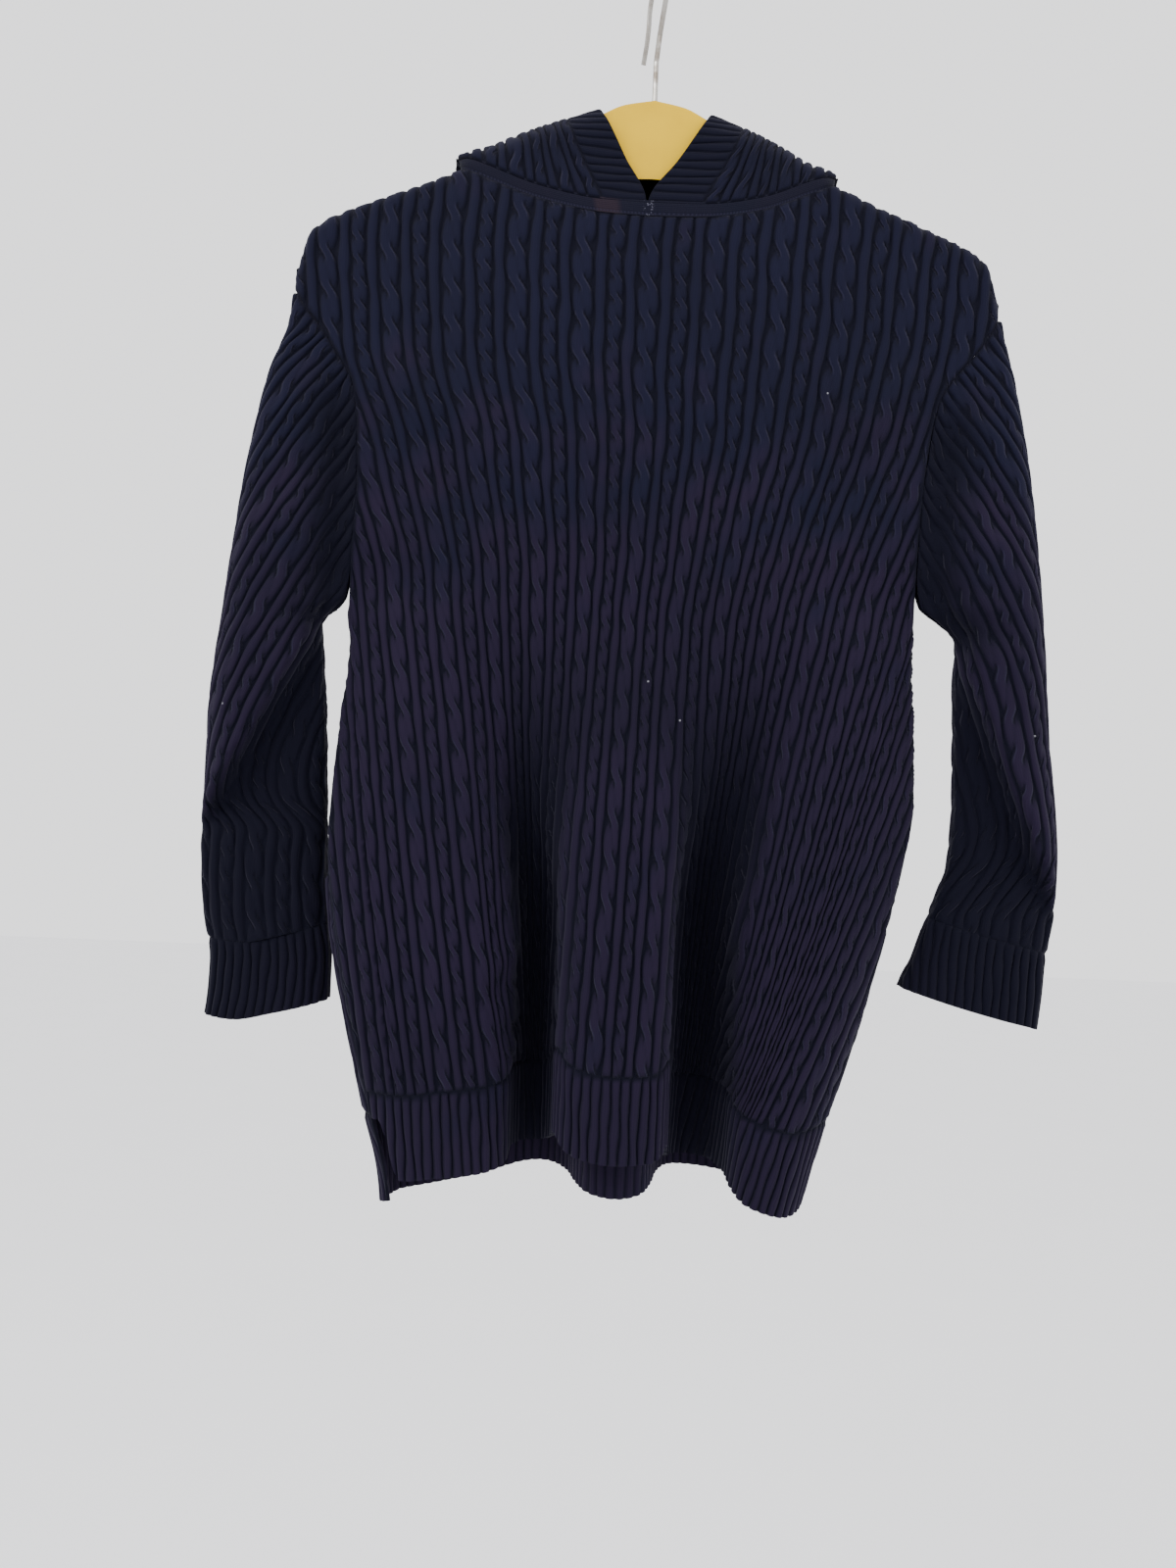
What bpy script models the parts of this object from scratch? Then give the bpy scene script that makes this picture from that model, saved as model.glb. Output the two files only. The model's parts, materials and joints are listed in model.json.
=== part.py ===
"""A hooded cable-knit sweater that hangs on a flat hanger with a wire hook.

Metres, +Z up, -Y is the front. The origin is the inner top of the hook. Cloth is worked out in
millimetres. Each panel is a flat cut in cloth coordinates, which are the distance across it and the
height it hangs at. A hanging function gives the place in space of each cloth point. Cables and ribs
are raised in the outer points of a wall whose inner side is plain.
"""

import math

import bpy
import numpy as np
from mathutils import Vector
from mathutils.geometry import delaunay_2d_cdt

MM = 0.001

# Cloth, in millimetres
WALL = 1.6  # plain cloth, with no ridge on it
SEAM_GAP = 0.3
REPEAT = 36.0  # one repeat of cables and ribs across the cloth
CROSSING = 26.0  # from one crossing of the big cable to the next
RIB = 7.2  # one rib of the hem and the cuffs
RIB_HEIGHT = 1.0
BORDER_RIB = 14.4  # one rib of the hood's border
# Ridges of one repeat: place across it, height, and how far a cable swings sideways
RIDGES = ((0.0, 1.9, 3.0), (10.75, 1.0, 0.0), (18.0, 1.4, 1.3), (25.25, 1.0, 0.0))
GROOVES = (8.0, 13.5, 22.5, 28.0)
SHOULDER_STRETCH = 1.14  # the hanger spreads the repeats here by this much
LINE_REACH = 110.0  # points of a wale further apart than this are not joined
EDGE_FADE = 6.0  # ridges reach their height this far in from a seam
HEM_BAND = 50.0
CUFF_BAND = 48.0
TAPE_WIDTH = 10.0
BORDER_SHARE = 0.1  # of half the neck ring, which the ribbed border of the hood takes

# Hanger
TILT = 0.0125  # the hanger hangs this much lower on the right, as a slope
HANGER_THICK = 11.0
HANGER_ROUNDING = 2.2
HANGER_END = 210.0
TIP_HEIGHT, TIP_RADIUS = -191.0, 7.0
HOOK_WIRE = 3.4
HOOK_RADIUS = 20.0  # of the hook's inner arch
HOOK_TURN = math.radians(14)  # the hook's plane, turned from the front-to-back plane
HOOK_ARC = (math.radians(-12), math.radians(195))
HOOK_LEAN = (-62.0, -20.0)  # the stem leans over between these heights, to hang under the arch
STEM_FOOT = -104.0
STEM_HEIGHTS = (STEM_FOOT, -90, -76, -62, -48)
BORE_DEEP, BORE_TOP = 2.0, -80.0  # the bore ends this far under the stem, and its cutter here

# The line over the hanger's arms that the shoulder seams follow: distance out, height
RIDGE_LINE = (
    (0, -84), (35, -93.5), (60, -106), (100, -129), (125, -143.5), (148, -154), (168, -162),
    (185, -169), (200, -175.5), (213, -183), (220, -190.5), (224, -206), (227.5, -222), (229, -240),
)
# The hanger's body: distance out, top, bottom
HANGER = (
    (0, -90, -146), (20, -94, -147), (35, -101.5, -149), (60, -114.5, -154), (100, -138, -167),
    (148, -162, -182), (185, -177.5, -192), (205, -187, -198),
)
# Armholes, and the sleeves' inner edges above the underarm: height, left x, right x
ARMHOLE = (
    (-224, -228, 228), (-238, -219, 221), (-251, -208, 212), (-268, -197, 198), (-284, -187, 189),
    (-316, -182, 183), (-357, -180.5, 179), (-395, -182, 177.5), (-430, -183, 178),
)
MIDDLE = -3.0  # the middle of the front at the neck, which hangs a little to the left
# Places round the neck, as shares of the way from the middle of the back to that of the front
FRONT_SHARES = (0.54, 0.58, 0.63, 0.68, 0.73, 0.78, 0.84, 0.9, 0.95, 1.0)
BACK_SHARES = (0.46, 0.41, 0.35, 0.28, 0.21, 0.14, 0.07, 0.0)
POINT_SHARES = (0.475, 0.49, 0.51, 0.525)  # at the neck point, between the two
TAPE_DIP = 0.9  # the tape is this much narrower at the neck points, where the hood turns down
NECK_LOWEST, NECK_REACH = -182.0, 126.5  # the neck's edge lies above and within these
NECK_STEPS = (6.0, 8.0)  # from the left and right neck points to the next points of the shoulders
SHOULDER_OUTS = (138, 152, 168, 184, 198, 209, 217, 222, 225.5)
SHOULDER_DROP = 0.05  # the shoulder seams run this far below the line over the arms
ARM_ROWS = (-230, -241, -253, -265, -278, -292, -310, -330, -347, -365, -380, -395, -412, -427)
ARMHOLE_TOP = -226.0
UNDERARM = -430.0
ARM_TURN = (-424.0, -396.0)  # an armhole's edges turn square to the front between these heights
# Side seams, and the armholes' run above them: height, left x, right x
SIDES = (
    (-284, -182, 183), (-357, -180.5, 179), (-395, -182, 177.5), (-430, -183, 178),
    (-463, -180, 177.5), (-494, -182, 178.5), (-540, -183, 178), (-580, -182, 171),
    (-619, -176, 161), (-655, -169, 152), (-688, -161, 143), (-735, -149, 128),
    (-777, -137, 116), (-810, -133, 108),
)
# Depths in front of and behind the hanger: height, front, back, at the armhole
DEPTHS = (
    (-130, 9, 9, 8), (-170, 12, 10, 8), (-220, 14, 11, 8), (-300, 17, 12, 8), (-380, 19, 13, 8),
    (-418, 20, 13, 3), (-434, 20, 13, 0.2), (-500, 21, 13, 0.2),
)
RIDGE_ROUND = 9.0  # radius of the cloth over the hanger's arms
FLAT_TO = -390.0  # the panels lie flat above this height
FOLD_TOP = -415.0  # the hanging folds grow from here
FOLD_BOTTOM = -640.0  # to here
# The hem seen from above, from the left side seam to the right: x, y
HEM_FRONT = (
    (-137, -40), (-124, -48), (-100, -52), (-78, -50), (-68, -40), (-65, -14), (-58, 3), (-48, 3),
    (-40, -15), (-37, -45), (-29, -61), (-3, -68), (21, -61), (28, -45), (31, -15), (40, 3),
    (57, 3), (66, -15), (70, -36), (79, -49), (96, -49), (108, -39), (116, -24),
)
FRONT_MIDDLE = 11
HEM_BACK = (
    (-137, -40), (-146, -28), (-147, -12), (-138, 1), (-112, 8), (-80, 14), (-56, 20), (-40, 17),
    (-28, 2), (-22, -18), (-14, -33), (0, -39), (13, -33), (20, -18), (25, 2), (35, 18), (52, 22),
    (74, 18), (94, 11), (110, 3), (118, -9), (116, -24),
)
BACK_MIDDLE = 11
LOBES = (-66.0, 72.0)  # outside these, a lobe widens with the sides above the hem
OVERHANG = 0.6  # of how far the hem's outer lobes reach past the side seams, kept higher up
SEAM_TURN = (math.radians(35), math.radians(20))  # how far the side seams turn to the front
# The hem's height along it, as a share of the way from the middle to a side: share, height
HEM_LINE_FRONT = (
    (-1.0, -742), (-0.94, -776), (-0.85, -773), (-0.7, -768), (-0.57, -761), (-0.45, -762),
    (-0.3, -752), (-0.2, -745), (-0.1, -754), (0.0, -757), (0.1, -756), (0.2, -750), (0.3, -762),
    (0.5, -768), (0.64, -772), (0.75, -782), (0.88, -789), (1.0, -786),
)
HEM_LINE_BACK = (
    (-1.0, -790), (-0.85, -796), (-0.6, -789), (-0.35, -778), (-0.2, -780), (0.0, -784),
    (0.2, -780), (0.35, -777), (0.6, -780), (0.85, -785), (1.0, -786),
)
# Sleeves seen from the front: height, outer edge, inner edge
SLEEVE_LEFT = (
    (-224, -228, -228), (-238, -229, -219), (-251, -231, -208), (-268, -237, -197),
    (-284, -242, -187), (-316, -248, -182), (-357, -254, -180.5), (-395, -258, -182),
    (-422, -260.5, -184.5), (-429, -261, -188), (-434, -261.5, -194), (-439, -262, -199.5),
    (-461, -264.6, -198.5), (-500, -267.4, -195), (-540, -267, -192.5), (-582, -268.5, -190.5),
    (-621, -265.5, -187.5), (-657, -259, -184.5), (-671, -259, -184.5), (-700, -262, -185.5),
)
SLEEVE_RIGHT = (
    (-224, 228, 228), (-238, 231, 221), (-251, 234, 212), (-268, 238, 198), (-284, 241, 189),
    (-322, 248, 183), (-357, 252.5, 179), (-395, 256.5, 178.5), (-415, 258, 182), (-422, 258.5, 190),
    (-429, 259, 199), (-436, 260, 205), (-497, 264, 206.5), (-542, 269, 207.5), (-578, 271, 205),
    (-606, 271, 195.5), (-640, 266.5, 183.5), (-659, 265, 175.5), (-690, 261, 177),
)
SLEEVE_ROUND = (10.0, 26.0)  # radius of a sleeve's outer edge, at the armhole and at the cuff
# A sleeve's front layer hangs proud above a slanting fold and lies back under it
FOLD_ENDS = (((-200, -441), (-262, -553)), ((203, -441), (258, -571)))
FOLD_DROP = 16.0  # the step from proud to low takes this much
# Depths of a sleeve's layers: height, proud front, low front, back
SLEEVE_DEPTHS = (
    (-222, 9, 8, 9), (-300, 15, 9, 12), (-400, 24, 8, 14), (-470, 28, 7, 15), (-560, 28, 6, 15),
    (-620, 19, 8, 16), (-700, 14, 12, 16),
)
SLEEVE_CORNER = (-432, -437, -446)  # heights of a sleeve's points under the underarm
# Heights of the rows of points down a sleeve, closer where the slanting fold is
SLEEVE_ROWS = (-241, -265, -292, -330, -365, -395, -412, -427, -439, -462, -485, -507, -529, -551,
               -575, -605)
# Cuff edges, along the layer from the outer fold to the underarm seam: share, left z, right z
CUFF_LINE = ((0.0, -690, -680), (0.3, -692, -674), (0.6, -687, -667), (1.0, -678, -656))

# The hood's left half. Each row is one wale from the neck ring over the hanger and down behind it to
# the crown: share of half the ring, then x, y, z at each station along the wale.
HOOD_LENGTH = 360.0
HOOD = (
    (0.00, (0, 12, -153), (0, 12.2, -147), (0, 12.5, -141), (0, 13.5, -132), (0, 17.5, -125),
     (0, 22, -133), (0, 22.5, -150), (0, 22.5, -170), (0, 22.5, -190), (0, 22.5, -210),
     (0, 22.5, -230)),
    (0.17, (-49, 12, -152.4), (-49, 12.2, -147), (-49.5, 12.5, -141), (-50, 13, -132),
     (-51, 17.5, -126.5), (-52, 22, -134), (-52, 22.5, -170), (-51, 22.5, -215),
     (-46, 23, -270), (-32, 23, -320), (0, 23, -352)),
    (0.35, (-98, 9, -149), (-98.5, 9.5, -145), (-99, 10, -141), (-99.5, 12, -134),
     (-102, 15.5, -130), (-105, 20.5, -138), (-107, 21.5, -176), (-108, 22.5, -240),
     (-97, 23.5, -305), (-68, 25, -366), (0, 26.5, -407)),
    (0.44, (-120, 7.5, -144.5), (-120.5, 8, -141), (-121, 8.8, -137.5), (-121.5, 11, -133.5),
     (-122.5, 15, -131.5), (-124.5, 20, -138), (-126.5, 22.5, -178), (-125.5, 24, -243),
     (-110.5, 26, -312), (-74, 28, -375), (0, 29, -418)),
    (0.50, (-126, 0, -141.8), (-126.9, 0.4, -138.3), (-127.6, 1, -135.2), (-128.3, 4.5, -132.3),
     (-129.3, 13, -132), (-130.8, 23, -137), (-132, 31, -176), (-129, 31.5, -248),
     (-115, 32, -320), (-76, 32, -384), (0, 33, -426)),
    (0.56, (-118, -7.8, -145.5), (-119, -7.8, -141.5), (-119.5, -7.2, -138), (-120, -4, -132),
     (-121, 6, -127.5), (-123.5, 20, -128.5), (-129, 36, -152), (-130, 38, -216),
     (-116, 37.5, -302), (-75, 38, -375), (0, 38.5, -417)),
    (0.60, (-106, -9.6, -151), (-106.5, -9.7, -146), (-107, -9.7, -141.5), (-107.5, -8.4, -134),
     (-110, 2, -125), (-114, 17, -125.5), (-121.5, 36, -150), (-124.5, 40, -212),
     (-112, 39.5, -292), (-72, 40, -362), (0, 40, -402)),
    (0.75, (-68, -11, -164), (-70, -11, -153), (-73, -10.7, -138), (-76, -9.2, -121.5),
     (-80, 0, -112.5), (-86, 13, -115), (-101, 35, -141), (-110, 41, -205), (-100, 42, -272),
     (-64, 42, -330), (0, 42, -362)),
    (0.90, (-30, -12.5, -170.5), (-32.5, -12.4, -160), (-44, -12, -137), (-54, -10.3, -114),
     (-57, -1, -104), (-63, 12, -107), (-79, 36, -133), (-88, 43, -195), (-81, 43.5, -252),
     (-54, 43.5, -300), (0, 43.5, -327)),
    (1.00, (-3.2, -12.5, -171.5), (-3.6, -12.5, -160), (-17, -12, -135), (-32, -10.6, -106),
     (-36.5, -2, -96.8), (-41, 10, -99), (-62, 37, -127), (-75, 44, -180), (-71, 44, -238),
     (-47, 44, -284), (0, 44, -305)),
)
HOOD_PLAIN = 0.5  # wales nearer the middle of the back than this share lie hidden and plain
# Heights of the rows of points up the hood
HOOD_ROWS = (28, 41, 54, 67, 80, 96, 124, 160, 200, 240, 280, 320)
# The hidden part behind the neck folds more tightly: places across and up of its points
HIDDEN_WALES = (25, 50, 75, 98, 111, 121)
HIDDEN_ROWS = (14.5, 18, 21.5, 25, 29, 34, 41, 52, 65, 80, 100, 130, 170, 220, 270, 320)
CROWN_CALM = 0.25  # the cables are this much of their height at the crown
HOOD_RIGHT = (1.04, 0.95)  # the right half's reach over the left's, at the rim and outermost

YELLOW = (0.80, 0.56, 0.012)
STEEL = (0.42, 0.41, 0.39)
NAVY = (0.012, 0.014, 0.035)
TAPE_NAVY = (0.012, 0.013, 0.03)
SMOOTH_TO = math.radians(40)  # faces that meet at less than this shade as one


def clear_scene():
    for thing in list(bpy.data.objects):
        bpy.data.objects.remove(thing)


def material(name, colour, roughness, metallic=0.0):
    made = bpy.data.materials.new(name)
    made.use_nodes = True
    shader = made.node_tree.nodes["Principled BSDF"]
    shader.inputs["Base Color"].default_value = (*colour, 1)
    shader.inputs["Roughness"].default_value = roughness
    shader.inputs["Metallic"].default_value = metallic
    return made


def add_object(name, points_mm, faces, finish=None):
    mesh = bpy.data.meshes.new(name)
    mesh.from_pydata((np.asarray(points_mm) * MM).tolist(), [], faces)
    mesh.shade_smooth()
    mesh.set_sharp_from_angle(angle=SMOOTH_TO)
    mesh.materials.append(finish)
    made = bpy.data.objects.new(name, mesh)
    bpy.context.scene.collection.objects.link(made)
    return made


# ---- curves through tables ----


def through(table, at, column=1, rounded=False):
    """A smooth curve through a table's first column and another. It holds its end values."""
    rows = np.array(table, float)
    rows = rows[np.argsort(rows[:, 0], kind="stable")]
    x, y = rows[:, 0], rows[:, column]
    slope = np.diff(y) / np.diff(x)
    before, after = slope[:-1], slope[1:]
    if rounded:
        inner = (before + after) / 2
    else:
        product = before * after
        inner = np.where(product > 0, 2 * product / np.where(product > 0, before + after, 1), 0)
    tangent = np.concatenate([slope[:1], inner, slope[-1:]])
    at = np.asarray(at, float)
    i = np.clip(np.searchsorted(x, at) - 1, 0, len(x) - 2)
    step = x[i + 1] - x[i]
    f = np.clip((at - x[i]) / step, 0, 1)
    return (
        y[i] * (1 + 2 * f) * (1 - f) ** 2
        + y[i + 1] * (3 - 2 * f) * f**2
        + step * (tangent[i] * f * (1 - f) ** 2 - tangent[i + 1] * f**2 * (1 - f))
    )


def ease(value, start, end):
    f = np.clip((np.asarray(value, float) - start) / (end - start), 0, 1)
    return f * f * (3 - 2 * f)


def arch(share):
    """A quarter round: 0 at 0, and 1 from 1 on."""
    return np.sqrt(1 - (1 - np.clip(share, 0, 1)) ** 2)


def ridge_height(x):
    return through(RIDGE_LINE, np.abs(x)) - TILT * x


def below_ridge(x, z):
    """How far a point lies below the shoulder line, square to it."""
    slope = (ridge_height(x + 0.5) - ridge_height(x - 0.5)) / 1.0
    return (ridge_height(x) - z) / np.sqrt(1 + slope**2)


# ---- panels that hang in slices, one slice for each height ----


def side_samples(reach, flat=0.7):
    """Shares from the middle out, close together where a side turns round."""
    inner = np.linspace(0, flat, 150)[:-1]
    turn = flat + (1 - flat) * np.sin(np.linspace(0, math.pi / 2, 90))[:-1]
    half = np.concatenate([inner, turn, np.linspace(1, reach, 50)])
    return np.concatenate([-half[:0:-1], half])


BODY_SAMPLES = side_samples(1.32)


def hem_curve(table, middle):
    """The hem's plan at each body sample, by its share of the way round to each side."""
    points = np.array(table, float)
    along = np.concatenate([[0], np.cumsum(np.linalg.norm(np.diff(points, axis=0), axis=1))])
    centre, whole = along[middle], along[-1]
    u = np.clip(BODY_SAMPLES, -1, 1)
    place = np.where(u < 0, centre * (1 + u), centre + (whole - centre) * u)
    rows = np.column_stack([along, points])
    return [through(rows, place, column, rounded=True) for column in (1, 2)]


FRONT_HEM_XY = hem_curve(HEM_FRONT, FRONT_MIDDLE)
BACK_HEM_XY = hem_curve(HEM_BACK, BACK_MIDDLE)


def widened(x, left, right):
    """Hem places with the outer lobes stretched or squeezed to reach the side seams."""
    first, last = HEM_FRONT[0][0], HEM_FRONT[-1][0]
    low, high = LOBES
    out_left = low + (x - low) * (left - low) / (first - low)
    out_right = high + (x - high) * (right - high) / (last - high)
    out_left = np.maximum(out_left, left) + OVERHANG * np.minimum(x - first, 0)
    out_right = np.minimum(out_right, right) + OVERHANG * np.maximum(x - last, 0)
    return np.where(x < low, out_left, np.where(x > high, out_right, x))


def body_slice(height, front):
    """(x, y) of the front or back panel at this height, for each body sample."""
    left, right = through(SIDES, height, 1), through(SIDES, height, 2)
    u = BODY_SAMPLES
    x = (left + right) / 2 + (right - left) / 2 * u
    depth = through(DEPTHS, height, 1 if front else 2)
    edge = through(DEPTHS, height, 3)
    lower = ease(-height, 400, 450)
    flat_side = 1 - ease(np.abs(u), 0.35, 1.12)
    round_side = arch((1 - np.abs(u)) / 0.3)
    swell = edge + (depth - edge) * (flat_side + lower * (round_side - flat_side))
    swell = swell * arch(below_ridge(x, height) / RIDGE_ROUND)
    y = -swell if front else swell
    fold = ease(-height, -FOLD_TOP, -FOLD_BOTTOM)
    hem_x, hem_y = FRONT_HEM_XY if front else BACK_HEM_XY
    hem_x = widened(hem_x, left, right)
    return x + fold * (hem_x - x), y + fold * (hem_y - y)


SLEEVE_SAMPLES = (1 - np.cos(np.linspace(0, math.pi, 200))) / 2


def sleeve_slice(height, left):
    """(x, y) of a sleeve at this height, from the underarm round the back, the outer edge and the
    front to the underarm again."""
    table = SLEEVE_LEFT if left else SLEEVE_RIGHT
    outer, inner = through(table, height, 1), through(table, height, 2)
    share = SLEEVE_SAMPLES
    x = outer + (inner - outer) * share
    round_by = SLEEVE_ROUND[0] + (SLEEVE_ROUND[1] - SLEEVE_ROUND[0]) * ease(-height, 250, 480)
    edge = through(DEPTHS, height, 3)
    tube = ease(-height, 400, 450)
    span = max(abs(inner - outer), 0.5)
    outer_turn = arch(np.abs(x - outer) / min(round_by, max(span * 0.45, 8)))
    end_turn = arch((1 - share) * span / 22)
    (x0, z0), (x1, z1) = FOLD_ENDS[0 if left else 1]
    slope = (z1 - z0) / (x1 - x0)
    under = (z0 + slope * (x - x0) - height) / math.sqrt(1 + slope**2)
    proud, low, back = (float(through(SLEEVE_DEPTHS, height, k)) for k in (1, 2, 3))
    front = proud + (low - proud) * ease(under, 0, FOLD_DROP)
    cap_rise = ease((1 - share) * span, 0, 40)
    layers = []
    for depth in (back, front):
        cap = edge + (depth - edge) * cap_rise
        closed = edge + (depth - edge) * end_turn
        layers.append((cap + tube * (closed - cap)) * outer_turn)
    back_y, front_y = layers
    return np.concatenate([x[:0:-1], x]), np.concatenate([back_y[:0:-1], -front_y])


class Panel:
    """A flat cut and the way it hangs. Its cloth coordinates are across and height. The anchor is
    the sample of each slice that is 0 across."""

    def __init__(self, cut_slice, anchor):
        self.cut_slice = cut_slice
        self.anchor = anchor
        self.slices = {}

    def slice(self, height):
        key = round(float(height), 4)
        if key not in self.slices:
            x, y = self.cut_slice(key)
            along = np.concatenate([[0], np.cumsum(np.hypot(np.diff(x), np.diff(y)))])
            self.slices[key] = (along - along[self.anchor], x, y)
        return self.slices[key]

    def ends(self, height):
        along = self.slice(height)[0]
        return along[0], along[-1]

    def across_at(self, x, height):
        """The cloth distance of the place x, in the part of a slice where x rises all the way."""
        along, xs, _ = self.slice(height)
        return float(np.interp(x, xs, along))

    def place(self, cloth):
        """The places in space of cloth points."""
        found = np.empty((len(cloth), 3))
        keys = np.round(cloth[:, 1], 4)
        for key in np.unique(keys):
            rows = keys == key
            along, x, y = self.slice(key)
            found[rows, 0] = np.interp(cloth[rows, 0], along, x)
            found[rows, 1] = np.interp(cloth[rows, 0], along, y)
            found[rows, 2] = key
        return found


# ---- walls cut from an outline ----


def depth_inside(points, outline):
    """How far points lie inside an outline. It is negative outside."""
    a, b = outline, np.roll(outline, -1, axis=0)
    x, y = points[:, :1], points[:, 1:]
    crosses = (a[:, 1] > y) != (b[:, 1] > y)
    rise = np.where(b[:, 1] == a[:, 1], 1, b[:, 1] - a[:, 1])
    hits = crosses & (x < a[:, 0] + (y - a[:, 1]) * (b[:, 0] - a[:, 0]) / rise)
    edge = b - a
    size = np.maximum((edge**2).sum(1), 1e-9)
    f = np.clip(((x - a[:, 0]) * edge[:, 0] + (y - a[:, 1]) * edge[:, 1]) / size, 0, 1)
    gap = np.hypot(x - a[:, 0] - f * edge[:, 0], y - a[:, 1] - f * edge[:, 1])
    return np.where(hits.sum(1) % 2 == 1, 1, -1) * gap.min(1)


def triangulated(outline, inner, lines=()):
    """Triangles over an outline and the points inside it, which come after the outline's. lines
    holds pairs of points that an edge joins."""
    count = len(outline)
    points = [Vector(p) for p in np.concatenate([outline, inner]).tolist()]
    found = delaunay_2d_cdt(points, lines, [list(range(count))], 1, 1e-7)
    places, faces, origins = found[0], found[2], found[3]
    if len(places) != len(points):
        raise ValueError("the outline crosses itself or two of its points coincide")
    turned = []
    for face in faces:
        a, b, c = (places[i] for i in face)
        order = face if (b - a).cross(c - a) > 0 else face[::-1]
        turned.append(tuple(origins[i][0] for i in order))
    return turned


def turns_clockwise(outline):
    x, y = outline.T
    return (x * np.roll(y, -1) - np.roll(x, -1) * y).sum() < 0


def facing(place, cloth, flip, step=0.6):
    """The outward normals of cloth points."""
    across, up = np.array([step, 0]), np.array([0, step])
    along = place(cloth + across) - place(cloth - across)
    rise = place(cloth + up) - place(cloth - up)
    normal = np.cross(along, rise) * (-1 if flip else 1)
    return normal / np.maximum(np.linalg.norm(normal, axis=1), 1e-9)[:, None]


def wale_lines(ridged, outline, first):
    """Pairs of neighbours down each wale, counted from first, that stay clear of the outline."""
    order = np.lexsort((ridged[:, 1], ridged[:, 3]))
    above, below = order[1:], order[:-1]
    joined = ridged[above, 3] == ridged[below, 3]
    joined &= ridged[above, 3] >= 0
    joined &= np.abs(ridged[above, 1] - ridged[below, 1]) < LINE_REACH
    for share in (0.2, 0.5, 0.8):
        between = ridged[above, :2] * share + ridged[below, :2] * (1 - share)
        joined &= depth_inside(between, outline) > 1.0
    return [(int(a) + first, int(b) + first) for a, b in zip(above[joined], below[joined])]


def fade(depth):
    """Ridges sink to plain cloth next to a seam."""
    return np.clip((depth - 1) / (EDGE_FADE - 1), 0, 1)


def wall(name, place, outline, ridged, plain, finish, edge_heights, flip=False, seams=None,
         kept_side=None, margin=1.2):
    """A closed cloth wall. ridged and plain hold the points inside the outer and inner faces;
    ridged has a third column, the ridge height, and may have a fourth, the wale. Points of one wale
    are joined downwards. seams(cloth, normal) may turn the edge normals."""
    outline, edge_heights = np.array(outline, float), np.asarray(edge_heights)
    if turns_clockwise(outline):
        outline, edge_heights = outline[::-1], edge_heights[::-1]
    depth = depth_inside(ridged[:, :2], outline)
    kept = depth > margin
    ridged, depth = ridged[kept], depth[kept]
    ridged[:, 2] *= fade(depth)
    plain = plain[depth_inside(plain, outline) > margin * 2.5]
    edge = place(outline)
    edge_normal = facing(place, outline, flip)
    if seams:
        edge_normal = seams(outline, edge_normal)
    outer = np.concatenate([
        edge + edge_normal * (WALL / 2 + edge_heights[:, None]),
        place(ridged[:, :2])
        + facing(place, ridged[:, :2], flip) * (WALL / 2 + ridged[:, 2:3]),
    ])
    inner = np.concatenate([
        edge - edge_normal * WALL / 2,
        place(plain) - facing(place, plain, flip) * WALL / 2,
    ])
    if kept_side:
        outer = kept_side(outer, np.concatenate([outline, ridged[:, :2]]))
        inner = kept_side(inner, np.concatenate([outline, plain]))
    count, base = len(outline), len(outer)
    lines = wale_lines(ridged, outline, count) if ridged.shape[1] > 3 else []
    faces = list(triangulated(outline, ridged[:, :2], lines))
    faces += [tuple(base + i for i in face[::-1]) for face in triangulated(outline, plain)]
    for i in range(count):
        j = (i + 1) % count
        faces.append((j, i, base + i, base + j))
    points = np.concatenate([outer, inner])
    if flip:
        faces = [face[::-1] for face in faces]
    return add_object(name, points, faces, finish)


def cable_points(reach, heights, stretch, every=lambda height: 1):
    """Points on the ridges and grooves of the cable pattern, in rows at the heights given, with
    ridge heights and wales. What runs straight down may have points on fewer of the rows."""
    repeats = range(-math.ceil(reach / REPEAT) - 1, math.ceil(reach / REPEAT) + 2)
    marks = [*RIDGES, *((place, 0.0, 0.0) for place in GROOVES)]
    found = []
    for row, height in enumerate(heights):
        side = 1 if row % 2 else -1
        for repeat in repeats:
            for mark, (place, tall, sway) in enumerate(marks):
                if sway or row % every(height) == 0:
                    across = (repeat * REPEAT + place + side * sway) * stretch(height)
                    wale = (repeat - repeats[0]) * len(marks) + mark
                    found.append((across, height, tall, wale))
    return np.array(found)


def plain_rows(reach_at, heights, pitch, near=(4.5, 10.0)):
    """Plain points in rows between a panel's ends, closer together by its edges."""
    found = []
    for height in heights:
        low, high = reach_at(height)
        inner = spaced(low + near[1], high - near[1], pitch)
        found += [(across, height) for across in (low + near[0], *inner, high - near[0])]
    return np.array(found)


def rib_wave(along, pitch, height=RIB_HEIGHT):
    """Ribs as ridges: the height at places along an edge."""
    phase = np.mod(np.asarray(along) / pitch, 1)
    return height * (1 - np.abs(2 * phase - 1))


def spaced(start, end, pitch):
    """Numbers from start to end, both included, about this far apart."""
    return np.linspace(start, end, max(2, round(abs(end - start) / pitch) + 1))


def rib_marks(low, high, pitch):
    """Places of the ridges and grooves of a ribbed edge, strictly between two ends."""
    half = pitch / 2
    marks = np.arange(math.ceil(low / half + 0.5), math.floor(high / half - 0.5) + 1) * half
    return marks


# ---- front and back ----


def chest_stretch(height):
    return 1 + (SHOULDER_STRETCH - 1) * float(ease(height, -420, -180))


def neck_point(share):
    """x and height of the neck seam at a share of the way round, negative on the left."""
    x, _, z = hood_place(np.array([[share, 0.0]]))[0]
    return x, z - SEAM_GAP


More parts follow.
